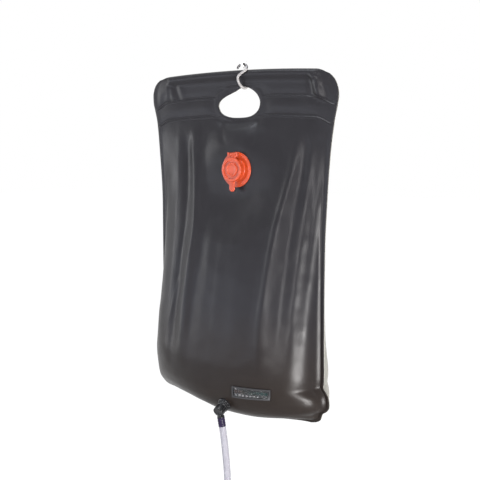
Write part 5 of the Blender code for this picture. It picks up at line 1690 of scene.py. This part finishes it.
def make_world():
    """A grey-blue studio that is white where it is seen."""
    world = bpy.data.worlds.new("studio")
    bpy.context.scene.world = world
    world.use_nodes = True
    tree = world.node_tree
    plain = tree.nodes["Background"]
    plain.inputs["Color"].default_value = (*WORLD_COLOUR, 1.0)
    plain.inputs["Strength"].default_value = WORLD_STRENGTH
    white = add_node(tree, "ShaderNodeBackground", {"Color": (1.0, 1.0, 1.0, 1.0), "Strength": 1.0})
    blend_into(tree, "World Output", background_rays(tree), plain.outputs["Background"],
               white.outputs["Background"])


def make_floor():
    """A pale floor that glows where it is seen."""
    made = Finish("pale_floor", FLOOR_COLOUR, 0.9)
    glow = add_node(made.tree, "ShaderNodeEmission", {"Strength": FLOOR_GLOW})
    share = add_node(made.tree, "ShaderNodeMath",
                     {0: background_rays(made.tree), 1: FLOOR_GLOW_SHARE}, "MULTIPLY")
    blend_into(made.tree, "Material Output", share.outputs["Value"], made.shader.outputs["BSDF"],
               glow.outputs["Emission"])
    shape = bmesh.new()
    bmesh.ops.create_grid(shape, x_segments=1, y_segments=1, size=FLOOR_SIZE)
    floor = solid("floor", shape, made.material, Matrix.Translation((0.0, 0.0, FLOOR_Z)))


def aimed(name, data, place, direction):
    """A lamp or camera at a place that looks along a direction."""
    obj = add_object(name, data)
    obj.location = place
    obj.rotation_euler = direction.to_track_quat("-Z", "Y").to_euler()
    return obj


def area_lamp(name, place, size, power, colour):
    lamp = bpy.data.lights.new(name, "AREA")
    lamp.shape = "RECTANGLE"
    lamp.size, lamp.size_y = size
    lamp.energy = power
    lamp.color = colour
    aimed(name, lamp, place, LAMP_TARGET - Vector(place))


def make_camera():
    azimuth, pitch = math.radians(CAMERA_AZIMUTH), math.radians(CAMERA_PITCH)
    back = Vector((math.sin(azimuth), -math.cos(azimuth), 0.0))
    camera = bpy.data.cameras.new("camera")
    camera.sensor_width = SENSOR_MM
    camera.lens = SENSOR_MM * CAMERA_FOCAL_PX / PICTURE_PX
    camera.shift_x = CAMERA_SHIFT_PX / PICTURE_PX
    camera.clip_start = CAMERA_CLIP
    return aimed("camera", camera, CAMERA_CENTRE + back * CAMERA_DISTANCE,
                 -back * math.cos(pitch) + DOWN * math.sin(pitch))


class SHOWERBAG_OT_stage(Operator):
    """Sets up the camera, lamps, world and floor."""

    bl_idname = "shower_bag.stage"
    bl_label = "Stage"

    def execute(self, context):
        context.scene.camera = make_camera()
        make_world()
        make_floor()
        for lamp in LAMPS:
            area_lamp(*lamp)
        context.scene.view_settings.view_transform = "Standard"
        return {"FINISHED"}


OPERATORS = (
    SHOWERBAG_OT_stage, SHOWERBAG_OT_cord, SHOWERBAG_OT_head, SHOWERBAG_OT_hose,
    SHOWERBAG_OT_films, SHOWERBAG_OT_filler, SHOWERBAG_OT_outlet, SHOWERBAG_OT_thermometer,
)


class SHOWERBAG_PT_panel(Panel):
    """Lists the settings and the pieces of the bag."""

    bl_idname = "SHOWERBAG_PT_panel"
    bl_label = "Camp shower bag"
    bl_space_type = "VIEW_3D"
    bl_region_type = "UI"
    bl_category = "Shower bag"

    def draw(self, context):
        for name in ShowerBagSettings.__annotations__:
            self.layout.prop(context.scene.shower_bag, name)
        for operator in OPERATORS:
            self.layout.operator(operator.bl_idname)


CLASSES = (ShowerBagSettings, *OPERATORS, SHOWERBAG_PT_panel)


def register():
    for made in CLASSES:
        bpy.utils.register_class(made)
    bpy.types.Scene.shower_bag = PointerProperty(type=ShowerBagSettings)


def unregister():
    del bpy.types.Scene.shower_bag
    for made in reversed(CLASSES):
        bpy.utils.unregister_class(made)


def main():
    register()
    bpy.ops.shower_bag.stage()
    bpy.ops.shower_bag.cord()
    bpy.ops.shower_bag.head()
    bpy.ops.shower_bag.hose()
    bpy.ops.shower_bag.films()
    bpy.ops.shower_bag.filler()
    bpy.ops.shower_bag.outlet()
    bpy.ops.shower_bag.thermometer()


if __name__ == "__main__":
    main()
